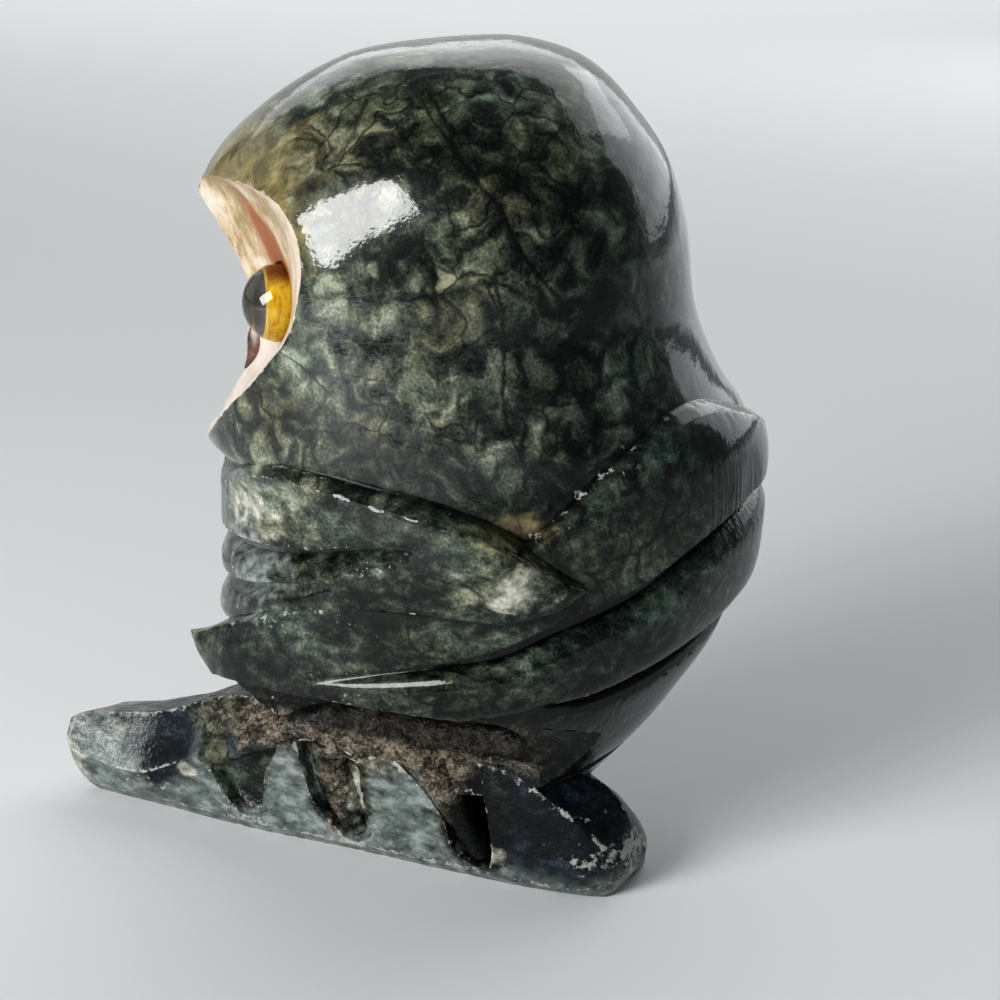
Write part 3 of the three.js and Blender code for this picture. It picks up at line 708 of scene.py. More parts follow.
def convexEdges(mesh):
    # 1 on worn outer edges, fading over the next vertices
    bm = bmesh.new()
    bm.from_mesh(mesh)
    edge = np.zeros(len(bm.verts))
    for e in bm.edges:
        turn = e.calc_face_angle_signed(0)
        if turn > 0.42 and min(f.calc_area() for f in e.link_faces) > 1e-5:
            for v in e.verts:
                edge[v.index] = 1
    pairs = np.array([[v.index for v in e.verts] for e in bm.edges])
    bm.free()
    share = np.bincount(pairs.ravel(), minlength=len(edge))
    near = edge.copy()
    for _ in range(2):
        total = np.bincount(pairs[:, 0], near[pairs[:, 1]], len(edge)) + np.bincount(pairs[:, 1], near[pairs[:, 0]],
            len(edge))
        near = np.maximum(near, total / share * 0.9)
    return edge, near


# Wear and finish of the stone, in mm
wear = {
    "edge": 0.05, "chip": 0.35, "chipSize": 1.3,         # worn edges, and chips in them
    "coarse": 3.2, "fine": 0.9,                          # sizes of the lumps used throughout
    "footLumps": 0.42, "footGrain": 0.16,                # the granular foot
    "facetSize": 5.5, "facetWave": 0.16, "facetGrain": 0.03,    # the log's polished faces
    "creamGrain": 0.1,
    "shadeFrom": 24,                                       # painted shade darkens the seams above this height
    "sharp": math.radians(40),                           # edges sharper than this stay crisp
}
# Iron stain in the hollows: distance from the ridge, reach, height, rise and strength. The ring is round the eye:
# distance from the ridge, radius, width and strength
stains = [[8.4, 2, 77.8, 2.9, 1.6], [7.2, 0.9, 82.5, 3, 0.45], [9.9, 0.8, 66, 1.1, 0.7]]
stainRing = (9.1, 4.9, 0.7, 0.8)


def weatherStone(piece):
    mesh = piece.data
    points = pointsOf(mesh)
    normals = np.empty(len(points) * 3)
    mesh.vertex_normals.foreach_get("vector", normals)
    normals = normals.reshape(-1, 3)
    x, y, height = points.T
    turn = np.degrees(np.arctan2(x, -y))
    angle = np.radians(turn)
    reach = np.hypot(x, y)
    proud = reach - skin(angle, np.clip(height, 10, 101.9))
    forward = points @ headPoint(1.0, 0.0, 0.0)
    aside = points @ headPoint(0.0, 1.0, 0.0)
    onLog = np.where((height < 22.6) & ((proud < -0.4) | (proud > 0.4) | (height < 14)), 1.0, 0.0)
    onLog = np.maximum(onLog, (height < 13) * 1.0)
    edge, near = convexEdges(mesh)

    finish = np.zeros(len(mesh.polygons), int)
    mesh.polygons.foreach_get("material_index", finish)
    inHollow = np.zeros(len(points), bool)
    for raw in (True, False):
        for i in np.flatnonzero((finish > 0) == raw):
            inHollow[list(mesh.polygons[i].vertices)] = raw

    marks = {name: spread(zone, turn, x, height, onLog) for name, zone in zones.items()}
    coarse = lumps(points, wear["coarse"], 3, seed=1)
    fine = lumps(points, wear["fine"], 2, seed=2)
    for name in ("amber", "brown", "cream", "grey", "navy"):
        marks[name] = np.clip(marks[name] * 1.3 + (coarse * 0.35 + fine * 0.15) * (marks[name] > 0.04), 0, 1)
    wingTop = np.where(turn < 44, readRows(wings["right"])(turn)[0], 0)
    wingTop = np.maximum(wingTop, np.where(turn > -53, readRows(wings["left"])(turn)[0], 0))
    # painted shade: the groove floors in the wings, the seams along the wings' edges and the band under the breast go
    # towards black
    sunk = easeStep(1.1, -0.6, proud) * (height < wingTop - 0.4) * (height > wear["shadeFrom"]) * (1 - onLog)
    for low, high, side in ((-14, 44, "right"), (-50, 100, "left")):
        top, bottom, stand = readRows(wings[side])(turn)
        below = bottom - height
        seamShade = np.exp(-0.5 * ((below - 0.3) / 0.5) ** 2) * easeStep(low, low + 10, turn) * easeStep(high, high - 2,
            turn)
        above = height - top
        seamShade = np.maximum(seamShade, np.exp(-0.5 * ((above - 0.15) / 0.35) ** 2) * (turn > low) * (turn < high))
        sunk = np.maximum(sunk, seamShade * (1 - onLog) * 0.85)
    # painted shade in the band under the breast, above the feet
    under = easeStep(23.5, 21.5, height) * easeStep(16.5, 18, height) * (y < -13)
    wet = np.clip(np.maximum(sunk, under * 0.8), 0, 1) * ~inHollow
    rough = np.clip(marks["brown"] + onLog * 0.4 + marks["cream"] * 0.5, 0, 1) * ~inHollow

    # worn edges, bruised arrises, a lumpy foot and uneven facets
    chips = np.clip(lumps(points, wear["chipSize"], 2, seed=3) - 0.12, 0, 1)
    dent = -edge * (wear["edge"] + chips * wear["chip"] * (1 - inHollow))
    dent += marks["brown"] * onLog * (coarse * wear["footLumps"] + fine * wear["footGrain"])
    facetWaves = lumps(points, wear["facetSize"], 2, seed=4) * wear["facetWave"]
    dent += onLog * (1 - marks["brown"]) * (facetWaves + fine * wear["facetGrain"])
    dent += marks["cream"] * fine * wear["creamGrain"] * ~inHollow
    dent *= height > 0.05    # the underside stays flat
    points = points + normals * dent[:, None]
    for normal, offset in log["facets"]:
        normal = np.array(normal) / np.linalg.norm(normal)
        over = np.clip(points @ normal - offset, 0, 1.6) * (height < 18) * (x > 6)
        points = points - normal * over[:, None]
    setPoints(mesh, points)

    calm = easeStep(56, 50, height) * 0.8
    addValues(mesh, "calm", calm)
    fleckZone = np.clip(0.35 + easeStep(20, -30, turn) * 0.4 + onLog * 0.4, 0, 1)
    addValues(mesh, "light", marks["light"])
    for name in ("amber", "brown", "cream", "grey", "navy", "teal", "hair"):
        addValues(mesh, name, marks[name])
    addValues(mesh, "wet", wet)
    addValues(mesh, "rough", rough)
    addValues(mesh, "fleck", np.clip(near * fleckZone + marks["crumbs"] * 1.1, 0, 1.2) * ~inHollow)
    across = np.radians(turn[:, None] - np.array([np.interp(height,
                                                            *np.array(sorted(v["line"], key=lambda p: p[1]))[:,
                                                                ::-1].T)
                                                  for v in veins]).T) * reach[:, None]
    for first in (0, 3):
        kept = []
        for v in veins[first:first + 3]:
            levels = [p[1] for p in v["line"]]
            ends = easeStep(min(levels) - 1.5, min(levels) + 2, height) * easeStep(max(levels) + 1.5,
                max(levels) - 2, height)
            kept.append(ends)
        addValues(mesh, f"veinSide{first // 3}", across[:, first:first + 3])
        addValues(mesh, f"veinHold{first // 3}", np.array(kept).T)

    # inside the hollows: an orange stain above the eye, a pale crescent below it
    stain = np.zeros(len(points))
    for centre, reachOut, level, rise, amount in stains:
        stain += amount * np.exp(-0.5 * (((abs(aside) - centre) / reachOut) ** 2 + ((height - level) / rise) ** 2))
    centre, radius, width, amount = stainRing
    off = np.hypot(abs(aside) - centre, height - eye["height"]) - radius
    stain += amount * np.exp(-0.5 * ((off / width) ** 2)) * easeStep(6, 10, abs(aside))
    print("  stain reaches", round(float(stain[inHollow].max()), 2), "raw stone points", int(inHollow.sum()))
    addValues(mesh, "stain", np.clip(stain, 0, 1))
    addValues(mesh, "pale", np.clip(easeStep(74, 64, height) + 0.4 * easeStep(12, 20, abs(aside)), 0, 1))
    return inHollow


def linear(code):
    # sRGB hex to linear colour
    values = [int(code[i:i + 2], 16) / 255 for i in (1, 3, 5)]
    return tuple(v / 12.92 if v <= 0.04045 else ((v + 0.055) / 1.055) ** 2.4 for v in values) + (1,)


def addNode(tree, kind, settings=None, links=None):
    # settings are properties or input values, links are inputs and the outputs that feed them
    node = tree.nodes.new("ShaderNode" + kind)
    for name, value in (settings or {}).items():
        if name == "stops":
            ramp = node.color_ramp
            while len(ramp.elements) < len(value):
                ramp.elements.new(0.5)
            for element, (at, code) in zip(ramp.elements, value):
                element.position = at
                element.color = linear(code)
        elif isinstance(name, str) and hasattr(node, name):
            setattr(node, name, value)
        else:
            node.inputs[name].default_value = linear(value) if isinstance(value, str) else value
    for name, source in (links or {}).items():
        tree.links.new(source if isinstance(source, bpy.types.NodeSocket) else source.outputs[0], node.inputs[name])
    return node


def newMaterial(name):
    material = bpy.data.materials.new(name)
    material.use_nodes = True
    tree = material.node_tree
    for node in list(tree.nodes):
        tree.nodes.remove(node)
    return material, tree


# Mottled green-black alabaster, ground, polished and lacquered: cloudy blobs 2 to 3 mm across with dark webs between
# them, a few long veins, painted shade that blackens the grooves and seams, and white bruises along the edges
polish = {
    "cloud": 0.012, "patch": 0.0042, "cell": 0.0046, "web": 0.0072,   # sizes in metres
    "ramp": [(0, "#000100"), (0.2, "#090f0b"), (0.4, "#242b25"), (0.6, "#474e42"), (0.8, "#6c7262"), (1, "#9b9d8b")],
    "amber": [(0.25, "#2b2816"), (0.45, "#5a5236"), (0.6, "#80764f"), (0.75, "#a99b78")],
    "brown": [(0.38, "#0e0d0c"), (0.47, "#3a352f"), (0.54, "#71685b"), (0.64, "#a3978a")],
    "cream": [(0.3, "#5d6055"), (0.5, "#96978a"), (0.7, "#cbc8bb")],
    "navy": [(0.2, "#04080b"), (0.5, "#0e1820"), (0.9, "#36434c")],
    "grey": [(0.3, "#333b39"), (0.48, "#5f6865"), (0.66, "#8b9390")],
    "bruise": "#a9aca4", "black": "#010302",
}


def polishedStone():
    material, tree = newMaterial("lacquered_alabaster")
    place = addNode(tree, "TexCoord").outputs["Object"]
    read = {name: addNode(tree, "Attribute", {"attribute_name": name}).outputs["Fac"]
            for name in ("light", "amber", "brown", "cream", "grey", "navy", "teal", "hair", "wet", "rough", "fleck",
                         "calm")}
    bend = addNode(tree, "TexNoise", {"Scale": 1 / 0.005, "Detail": 2.0}, {"Vector": place})
    bent = addNode(tree, "VectorMath", {"operation": "MULTIPLY_ADD", 1: (0.0065,) * 3},
                   {0: bend.outputs["Color"], 2: place})
    cloud = addNode(tree, "TexNoise", {"Scale": 1 / polish["cloud"], "Detail": 3.0, "Roughness": 0.6},
                    {"Vector": place})
    patch = addNode(tree, "TexNoise", {"Scale": 1 / polish["patch"], "Detail": 6.0, "Roughness": 0.72},
                    {"Vector": bent})
    cell = addNode(tree, "TexVoronoi", {"feature": "DISTANCE_TO_EDGE", "Scale": 1 / polish["cell"]}, {"Vector": bent})
    cell = addNode(tree, "MapRange", {"interpolation_type": "SMOOTHSTEP", "From Max": 0.28},
                   {"Value": cell.outputs["Distance"]})
    grain = addNode(tree, "TexNoise", {"Scale": 1 / 0.00035, "Detail": 1.0}, {"Vector": place})
    web = addNode(tree, "TexVoronoi", {"feature": "DISTANCE_TO_EDGE", "Scale": 1 / polish["web"]}, {"Vector": bent})
    webLine = addNode(tree, "MapRange", {"interpolation_type": "SMOOTHSTEP", "From Min": 0.0, "From Max": 0.05,
                                         "To Min": 1.0, "To Max": 0.0},
                      {"Value": web.outputs["Distance"]})

    streak = addNode(tree, "Mapping", {"Scale": (0.6, 1, 1), "Rotation": (0, 0.9, 0)}, {"Vector": place})
    streak = addNode(tree, "TexNoise", {"Scale": 1 / 0.0014, "Detail": 4.0, "Roughness": 0.65}, {"Vector": streak})
    patch = addNode(tree, "Mix", {"data_type": "FLOAT"}, {0: read["calm"], 2: patch, 3: streak})
    cell = addNode(tree, "Mix", {"data_type": "FLOAT", 3: 0.75}, {0: read["calm"], 2: cell})

    # clouds, cells with dark seams, and painted light and shade from the light attribute
    total = addNode(tree, "Math", {"operation": "MULTIPLY", 1: 1.2}, {0: cloud})
    for source, weight in ((patch.outputs[0], 1.9), (grain.outputs[0], 0.5), (read["light"], 0.4),
                           (cell.outputs[0], 0.3)):
        total = addNode(tree, "Math", {"operation": "MULTIPLY_ADD", 1: weight}, {0: source, 2: total})
    tone = addNode(tree, "MapRange", {"From Min": 1.56, "From Max": 2.54}, {"Value": total})
    colour = addNode(tree, "ValToRGB", {"stops": polish["ramp"]}, {"Fac": tone})
    warm = addNode(tree, "TexNoise", {"Scale": 1 / 0.014, "Detail": 1.0}, {"Vector": place})
    for low, high, tint in ((0.45, 0.65, "#e0c69a"), (0.5, 0.32, "#b9cfc6")):
        share = addNode(tree, "MapRange", {"From Min": low, "From Max": high, "To Max": 0.6}, {"Value": warm})
        colour = addNode(tree, "Mix", {"data_type": "RGBA", "blend_type": "MULTIPLY", 7: tint},
                         {0: share, 6: colour}).outputs[2]
    colour = addNode(tree, "Mix", {"data_type": "RGBA", "blend_type": "MULTIPLY", 7: "#b0c8d2"},
                     {0: read["teal"], 6: colour}).outputs[2]

    # darker lines
    lines = addNode(tree, "Math", {"operation": "MULTIPLY"}, {0: webLine, 1: addNode(
        tree, "MapRange", {"From Min": 0.42, "From Max": 0.54, "To Max": 0.8}, {"Value": warm})})
    wander = addNode(tree, "Math", {"operation": "MULTIPLY_ADD", 1: 2.2, 2: -1.1}, {0: patch})
    for group in (0, 1):
        read3 = [addNode(tree, "Attribute", {"attribute_name": f"{name}{group}"}) for name in ("veinSide",
            "veinHold")]
        side, hold = [addNode(tree, "SeparateXYZ", {}, {0: node.outputs["Vector"]}) for node in read3]
        for i in range(3):
            gap = addNode(tree, "Math", {"operation": "ADD"}, {0: side.outputs[i], 1: wander})
            gap = addNode(tree, "Math", {"operation": "ABSOLUTE"}, {0: gap})
            line = addNode(tree, "MapRange", {"interpolation_type": "SMOOTHSTEP", "From Min": 0.0,
                                              "From Max": veins[group * 3 + i]["wide"] * 1.6,
                                              "To Min": 0.9, "To Max": 0.0}, {"Value": gap})
            line = addNode(tree, "Math", {"operation": "MULTIPLY"}, {0: line, 1: hold.outputs[i]})
            lines = addNode(tree, "Math", {"operation": "MAXIMUM"}, {0: lines, 1: line})
    colour = addNode(tree, "Mix", {"data_type": "RGBA", 7: polish["black"]}, {0: lines, 6: colour}).outputs[2]

    # navy, brown and cream patches, the navy partly painted shade, grooves blackened with painted shade, bruised
    # edges
    crumb = addNode(tree, "TexNoise", {"Scale": 1 / 0.0011, "Detail": 3.0, "Roughness": 0.7}, {"Vector": place})
    sand = addNode(tree, "Mix", {"data_type": "FLOAT", 0: 0.45}, {2: crumb, 3: grain})
    sand = addNode(tree, "Mix", {"data_type": "FLOAT", 0: 0.45}, {2: sand, 3: patch})
    for name, source, edge in (("amber", patch, 0.5), ("grey", streak, 0.4), ("navy", tone, 0.35),
                               ("brown", sand, 0.5),
                               ("cream", streak, 0.4)):
        other = addNode(tree, "ValToRGB", {"stops": polish[name]}, {"Fac": source})
        share = addNode(tree, "Math", {"operation": "MULTIPLY_ADD", 1: 1.2}, {0: read[name], 2: streak})
        share = addNode(tree, "MapRange", {"interpolation_type": "SMOOTHSTEP", "From Min": 0.9 - edge,
                                           "From Max": 0.9 + edge}, {"Value": share})
        share = addNode(tree, "Math", {"operation": "MULTIPLY"},
                        {0: share, 1: addNode(tree, "MapRange", {"From Max": 0.2}, {"Value": read[name]})})
        colour = addNode(tree, "Mix", {"data_type": "RGBA"}, {0: share, 6: colour, 7: other}).outputs[2]
    # painted shade: the grooves, the seams and the band under the breast are mixed towards black
    depth = addNode(tree, "Math", {"operation": "MULTIPLY", 1: 0.9}, {0: read["wet"]})
    colour = addNode(tree, "Mix", {"data_type": "RGBA", 7: polish["black"]}, {0: depth, 6: colour}).outputs[2]
    bruise = addNode(tree, "Math", {"operation": "MULTIPLY_ADD", 1: 0.3}, {0: read["fleck"], 2: crumb})
    bruise = addNode(tree, "MapRange", {"From Min": 0.74, "From Max": 0.84, "To Max": 0.8}, {"Value": bruise})
    colour = addNode(tree, "Mix", {"data_type": "RGBA", 7: polish["bruise"]}, {0: bruise, 6: colour}).outputs[2]

    # relief in millimetres: rippled lacquer, rough stone, feather hairs, bruises
    ripple = addNode(tree, "TexNoise", {"Scale": 1 / 0.0035, "Detail": 4.0, "Roughness": 0.55}, {"Vector": place})
    hairs = addNode(tree, "Mapping", {"Scale": (1, 1, 0.1)}, {"Vector": place})
    hairs = addNode(tree, "TexNoise", {"Scale": 1 / 0.0007, "Detail": 1.0}, {"Vector": hairs})
    hairs = addNode(tree, "Math", {"operation": "MULTIPLY"}, {0: hairs, 1: read["hair"]})
    pits = addNode(tree, "Math", {"operation": "MULTIPLY"}, {0: crumb, 1: read["rough"]})
    relief = addNode(tree, "Math", {"operation": "MULTIPLY", 1: 0.09}, {0: ripple})
    for source, weight in ((hairs, 0.16), (pits, 0.55), (bruise, -0.08)):
        relief = addNode(tree, "Math", {"operation": "MULTIPLY_ADD", 1: weight}, {0: source, 2: relief})
    bump = addNode(tree, "Bump", {"Distance": 0.001, "Strength": 1.0}, {"Height": relief})
    gloss = addNode(tree, "MapRange", {"To Min": 0.32, "To Max": 0.6}, {"Value": read["rough"]})
    lacquer = addNode(tree, "MapRange", {"To Min": 1.0, "To Max": 0.15}, {"Value": read["rough"]})
    # thinner below the head
    worn = addNode(tree, "MapRange", {"To Min": 1.0, "To Max": 0.55}, {"Value": read["calm"]})
    lacquer = addNode(tree, "Math", {"operation": "MULTIPLY"}, {0: lacquer, 1: worn})
    shader = addNode(tree, "BsdfPrincipled", {"IOR": 1.5, "Coat Roughness": 0.07, "Coat IOR": 1.45,
                                              "Specular IOR Level": 0.1},
                     {"Base Color": colour, "Roughness": gloss, "Coat Weight": lacquer, "Normal": bump,
                      "Coat Normal": bump})
    addNode(tree, "OutputMaterial", {}, {"Surface": shader})
    return material


# The same alabaster left raw where the face is scooped out: cream and faintly pink, scraped down the hollow with a
# fine tool, with an iron stain above the eye
raw = {
    "ramp": [(0.3, "#94805a"), (0.48, "#b39d7c"), (0.62, "#c6b59d"), (0.8, "#d4c8bb")], "pale": "#cdc4c1",
    "stain": "#8a4503",
}


def rawStone():
    material, tree = newMaterial("raw_alabaster")
    place = addNode(tree, "TexCoord").outputs["Object"]
    pale = addNode(tree, "Attribute", {"attribute_name": "pale"}).outputs["Fac"]
    stain = addNode(tree, "Attribute", {"attribute_name": "stain"}).outputs["Fac"]
    cloud = addNode(tree, "TexNoise", {"Scale": 1 / 0.005, "Detail": 6.0, "Roughness": 0.6}, {"Vector": place})
    drawn = addNode(tree, "Mapping", {"Scale": (1, 1, 0.09), "Rotation": (0.1, 0.16, 0)}, {"Vector": place})
    scrape = addNode(tree, "TexNoise", {"Scale": 1 / 0.0006, "Detail": 4.0, "Roughness": 0.6, "Distortion": 0.3},
                     {"Vector": drawn})
    tone = addNode(tree, "Math", {"operation": "MULTIPLY_ADD", 1: 0.45}, {0: scrape, 2: cloud})
    tone = addNode(tree, "MapRange", {"From Min": 0.45, "From Max": 1.0}, {"Value": tone})
    colour = addNode(tree, "ValToRGB", {"stops": raw["ramp"]}, {"Fac": tone})
    light = addNode(tree, "Math", {"operation": "MULTIPLY", 1: 0.7}, {0: pale})
    colour = addNode(tree, "Mix", {"data_type": "RGBA", 7: raw["pale"]}, {0: light, 6: colour}).outputs[2]
    soak = addNode(tree, "Math", {"operation": "MULTIPLY_ADD", 1: 0.5}, {0: cloud, 2: stain})
    soak = addNode(tree, "MapRange", {"From Min": 0.36, "From Max": 1.1, "To Max": 0.92}, {"Value": soak})
    colour = addNode(tree, "Mix", {"data_type": "RGBA", 7: raw["stain"]}, {0: soak, 6: colour}).outputs[2]
    relief = addNode(tree, "Math", {"operation": "MULTIPLY", 1: 0.07}, {0: scrape})
    bump = addNode(tree, "Bump", {"Distance": 0.001, "Strength": 1.0}, {"Height": relief})
    shader = addNode(tree, "BsdfPrincipled", {"IOR": 1.52, "Roughness": 0.5, "Coat Weight": 0.12,
                                              "Coat Roughness": 0.3,
                                              "Subsurface Weight": 0.15,
                                              "Subsurface Radius": (0.0016, 0.001, 0.0007), "Subsurface Scale": 1.0},
                     {"Base Color": colour, "Normal": bump})
    addNode(tree, "OutputMaterial", {}, {"Surface": shader})
    return material


# Stone stained dark brown for the beak, rubbed smooth, mottled a little lighter in places
def stainedStone():
    material, tree = newMaterial("stained_beak")
    place = addNode(tree, "TexCoord").outputs["Object"]
    cloud = addNode(tree, "TexNoise", {"Scale": 1 / 0.0018, "Detail": 5.0, "Roughness": 0.65}, {"Vector": place})
    colour = addNode(tree, "ValToRGB", {"stops": [(0.35, "#2a1a0f"), (0.5, "#523521"), (0.68, "#80593a")]},
                     {"Fac": cloud})
    relief = addNode(tree, "Math", {"operation": "MULTIPLY", 1: 0.05}, {0: cloud})
    bump = addNode(tree, "Bump", {"Distance": 0.001, "Strength": 1.0}, {"Height": relief})
    shader = addNode(tree, "BsdfPrincipled", {"IOR": 1.5, "Roughness": 0.35, "Coat Weight": 0.3,
                                              "Coat Roughness": 0.15},
                     {"Base Color": colour, "Normal": bump})
    addNode(tree, "OutputMaterial", {}, {"Surface": shader})
    return material


# Taxidermy eye: the back of the glass is painted, a black pupil towards the ridge in a bright yellow iris, with a
# rusty stain over the top. Beyond the pupil it is painted olive, a painted reflection of the dark stone in the glass
def paintedIris():
    material, tree = newMaterial("painted_iris")
    place = addNode(tree, "TexCoord").outputs["Object"]
    disc = addNode(tree, "SeparateXYZ", {}, {0: addNode(tree, "Attribute",
                                                        {"attribute_name": "disc"}).outputs["Vector"]})
    fibre = addNode(tree, "Mapping", {"Scale": (1, 1, 0.25)}, {"Vector": place})
    fibre = addNode(tree, "TexNoise", {"Scale": 1 / 0.0004, "Detail": 3.0}, {"Vector": fibre})
    colour = addNode(tree, "ValToRGB", {"stops": [(0.3, "#dc9c08"), (0.45, "#f7c912"), (0.65, "#ffe238")]},
                     {"Fac": fibre})
    shade = addNode(tree, "MapRange", {"interpolation_type": "SMOOTHSTEP", "From Min": 0.55, "From Max": 1.0},
                    {"Value": disc.outputs[1]})
    colour = addNode(tree, "Mix", {"data_type": "RGBA", 7: "#8a4a06"}, {0: shade, 6: colour}).outputs[2]
    # painted reflection: olive beyond the pupil for the dark stone seen in the glass
    paintedReflection = addNode(tree, "MapRange", {"interpolation_type": "SMOOTHSTEP", "From Min": 0.56, "From Max": 0.74},
                    {"Value": disc.outputs[0]})
    colour = addNode(tree, "Mix", {"data_type": "RGBA", 7: "#3b3d28"}, {0: paintedReflection, 6: colour}).outputs[2]
    off = addNode(tree, "Math", {"operation": "MULTIPLY_ADD", 1: 1 / eye["pupil"][1],
                                 2: -eye["pupil"][0] / eye["pupil"][1]}, {0: disc.outputs[0]})
    off = addNode(tree, "Math", {"operation": "POWER", 1: 2.0}, {0: off})
    rise = addNode(tree, "Math", {"operation": "MULTIPLY", 1: 1 / eye["pupil"][2]}, {0: disc.outputs[1]})
    rise = addNode(tree, "Math", {"operation": "POWER", 1: 2.0}, {0: rise})
    off = addNode(tree, "Math", {"operation": "ADD"}, {0: off, 1: rise})
    pupil = addNode(tree, "MapRange", {"interpolation_type": "SMOOTHSTEP", "From Min": 0.9, "From Max": 1.15,
                                       "To Min": 1.0, "To Max": 0.0}, {"Value": off})
    colour = addNode(tree, "Mix", {"data_type": "RGBA", 7: "#050403"}, {0: pupil, 6: colour}).outputs[2]
    shader = addNode(tree, "BsdfPrincipled", {"Roughness": 0.35, "IOR": 1.45}, {"Base Color": colour})
    addNode(tree, "OutputMaterial", {}, {"Surface": shader})
    return material


# Clear cast glass, polished: seen through, with sharp reflections
def clearGlass():
    material, tree = newMaterial("clear_glass")
    shader = addNode(tree, "BsdfPrincipled", {"Base Color": "#fbf8ee", "Roughness": 0.0, "IOR": 1.5,
                                              "Transmission Weight": 1.0})
    addNode(tree, "OutputMaterial", {}, {"Surface": shader})
    return material


stoneFinishes = [polishedStone(), rawStone(), stainedStone()]
stone = carvedStone()
print("stone carved:", len(stone.data.polygons), "faces")
weatherStone(stone)
toMetres(stone)
stone.data.polygons.foreach_set("use_smooth", [True] * len(stone.data.polygons))
stone.data.set_sharp_from_angle(angle=wear["sharp"])
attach(stone, "root")
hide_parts("carved_owl")
print("stone weathered")


def glassEye(side, node):
    half, steps = eye["radius"] * eye["disc"], 10
    seat = [(0, -eye["cupBack"]), (eye["radius"] * 0.99, -eye["cupBack"]), (eye["radius"] * 0.98, -0.9), (half, 0.3)]
    seat += [(half * (1 - i / steps), 0.3 - eye["irisDepth"] * math.sin(i / steps * math.pi / 2)) for i in range(1,
        steps + 1)]
    cup = spunPiece(node + "_iris", seat, side)
    body = [(0, -eye["glassBack"]), (eye["radius"], -eye["glassBack"])] + domeProfile(eye["radius"], eye["dome"], 24)
    dome = spunPiece(node + "_glass", body, side)
    centre, outward = eyePlace(side)
    points = pointsOf(cup.data) - np.array(centre)
    along = points @ np.array(outward)
    inward = np.array([math.cos(faceAngle), math.sin(faceAngle), 0]) * -side    # across the disc, towards the ridge
    inward -= np.array(outward) * (inward @ np.array(outward))
    inward /= np.linalg.norm(inward)
    addValues(cup.data, "disc", np.stack([points @ inward / half, points[:, 2] / half, along], axis=1))
    lean = math.radians(-eye["paintTurn"] * side) * easeStep(-1.2, 0, along)
    turned = np.array([Matrix.Rotation(a, 3, "Z") @ Vector(p) for a, p in zip(lean, points)])
    setPoints(cup.data, turned + np.array(centre))
    toMetres(cup)
    toMetres(dome)
    cup.data.set_sharp_from_angle(angle=wear["sharp"])
    dome.data.set_sharp_from_angle(angle=math.radians(50))
    for piece in (cup, dome):
        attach(piece, "root")
    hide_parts(node)
    return cup, dome


eyes = [glassEye(side, node) for side, node in ((1, "left_eye"), (-1, "right_eye"))]
print("eyes set")


irisPaint, glass = paintedIris(), clearGlass()
for cup, dome in eyes:
    cup.data.materials.append(irisPaint)
    dome.data.materials.append(glass)
print("materials made")

studio = {
    "floor": "#dddfe0", "world": "#dfe4e8", "worldStrength": 0.16,
    # lamps: compass angle, height angle, distance, width, height, watts, colour, roll, and whether it faces down
    "lamps": [
        [-19, 21, 0.6, 0.38, 0.23, 3.9, "#ffffff", 42, False],       # the window that shows on the head
        [-158, 31, 2.3, 3.2, 2.2, 27, "#fdfefd", 0, True],            # daylight from above and behind
        [160, 20, 1.3, 1.1, 0.8, 3.2, "#f8faff", 0, False],           # pale wall behind on the right
        [-85, 22, 0.9, 0.6, 0.6, 0.5, "#fffaf2", 0, False],           # pale wall the face looks at
        [-150, 14, 2.8, 3.4, 1.3, 5, "#fdfefd", 0, False],            # the wall straight behind
    ],
}


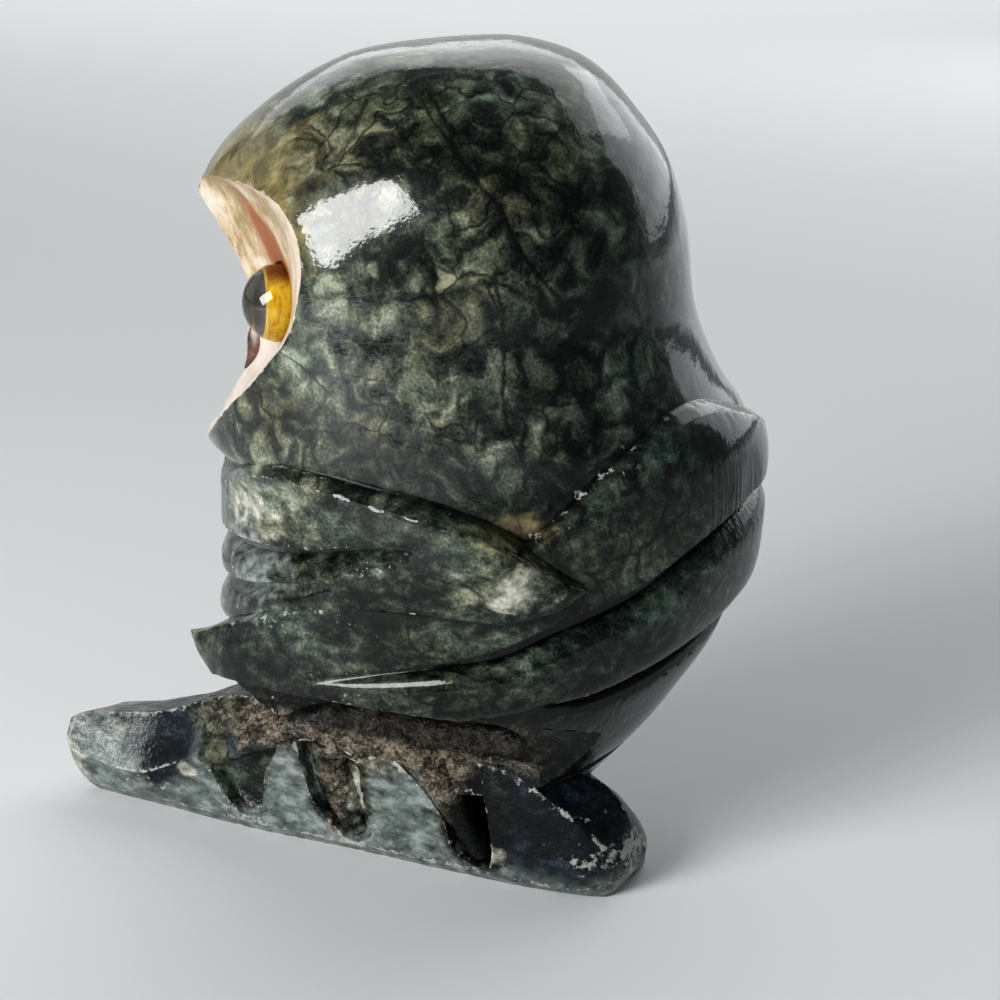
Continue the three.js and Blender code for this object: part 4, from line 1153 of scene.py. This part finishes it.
def addFloor():
    bm = bmesh.new()
    bmesh.ops.create_grid(bm, x_segments=8, y_segments=8, size=4)
    mesh = bpy.data.meshes.new("floor")
    bm.to_mesh(mesh)
    bm.free()
    floor = newPiece("floor", mesh)
    # matt white card with a very slight tooth
    material, tree = newMaterial("white_card")
    place = addNode(tree, "TexCoord").outputs["Object"]
    tooth = addNode(tree, "TexNoise", {"Scale": 1 / 0.002, "Detail": 2.0}, {"Vector": place})
    bump = addNode(tree, "Bump", {"Distance": 0.00002, "Strength": 1.0}, {"Height": tooth})
    shader = addNode(tree, "BsdfPrincipled", {"Base Color": studio["floor"], "Roughness": 0.75}, {"Normal": bump})
    addNode(tree, "OutputMaterial", {}, {"Surface": shader})
    mesh.materials.append(material)


def addLamps():
    middle = Vector((owl["axis"][0], owl["axis"][1], 50)) * 0.001
    for turn, rise, distance, width, height, watts, code, roll, hanging in studio["lamps"]:
        data = bpy.data.lights.new("softbox", "AREA")
        data.shape = "RECTANGLE"
        data.size, data.size_y = width, height
        data.energy = watts
        data.color = linear(code)[:3]
        lamp = bpy.data.objects.new("softbox", data)
        bpy.context.scene.collection.objects.link(lamp)
        turn, rise = math.radians(turn), math.radians(rise)
        out = Vector((math.sin(turn) * math.cos(rise), -math.cos(turn) * math.cos(rise), math.sin(rise)))
        lamp.location = middle + out * distance
        lamp.rotation_mode = "QUATERNION"
        facing = Vector((0, 0, 1)) if hanging else out
        lamp.rotation_quaternion = facing.to_track_quat("Z", "Y") @ Quaternion((0, 0, 1), math.radians(roll))
        lamp.visible_camera = False
    world = bpy.data.worlds.new("studio")
    bpy.context.scene.world = world
    world.use_nodes = True
    back = world.node_tree.nodes["Background"]
    back.inputs["Color"].default_value = linear(studio["world"])
    back.inputs["Strength"].default_value = studio["worldStrength"]


addFloor()
addLamps()
print("studio lit")

camera = {"azimuth": 27, "elevation": 16, "target": (12.676, 1.581, 45), "distance": 270, "lens": 77.76}


def addCamera():
    data = bpy.data.cameras.new("camera")
    data.lens = camera["lens"]
    data.sensor_width = 36
    data.clip_start = 0.01
    item = bpy.data.objects.new("camera", data)
    bpy.context.scene.collection.objects.link(item)
    turn, rise = math.radians(camera["azimuth"]), math.radians(camera["elevation"])
    back = Vector((math.sin(turn) * math.cos(rise), -math.cos(turn) * math.cos(rise), math.sin(rise)))
    item.location = (Vector(camera["target"]) + back * camera["distance"]) * 0.001
    item.rotation_mode = "QUATERNION"
    item.rotation_quaternion = (-back).to_track_quat("-Z", "Y")
    bpy.context.scene.camera = item
    bpy.context.scene.view_settings.view_transform = "Standard"
    bpy.context.scene.view_settings.look = "Medium High Contrast"


addCamera()
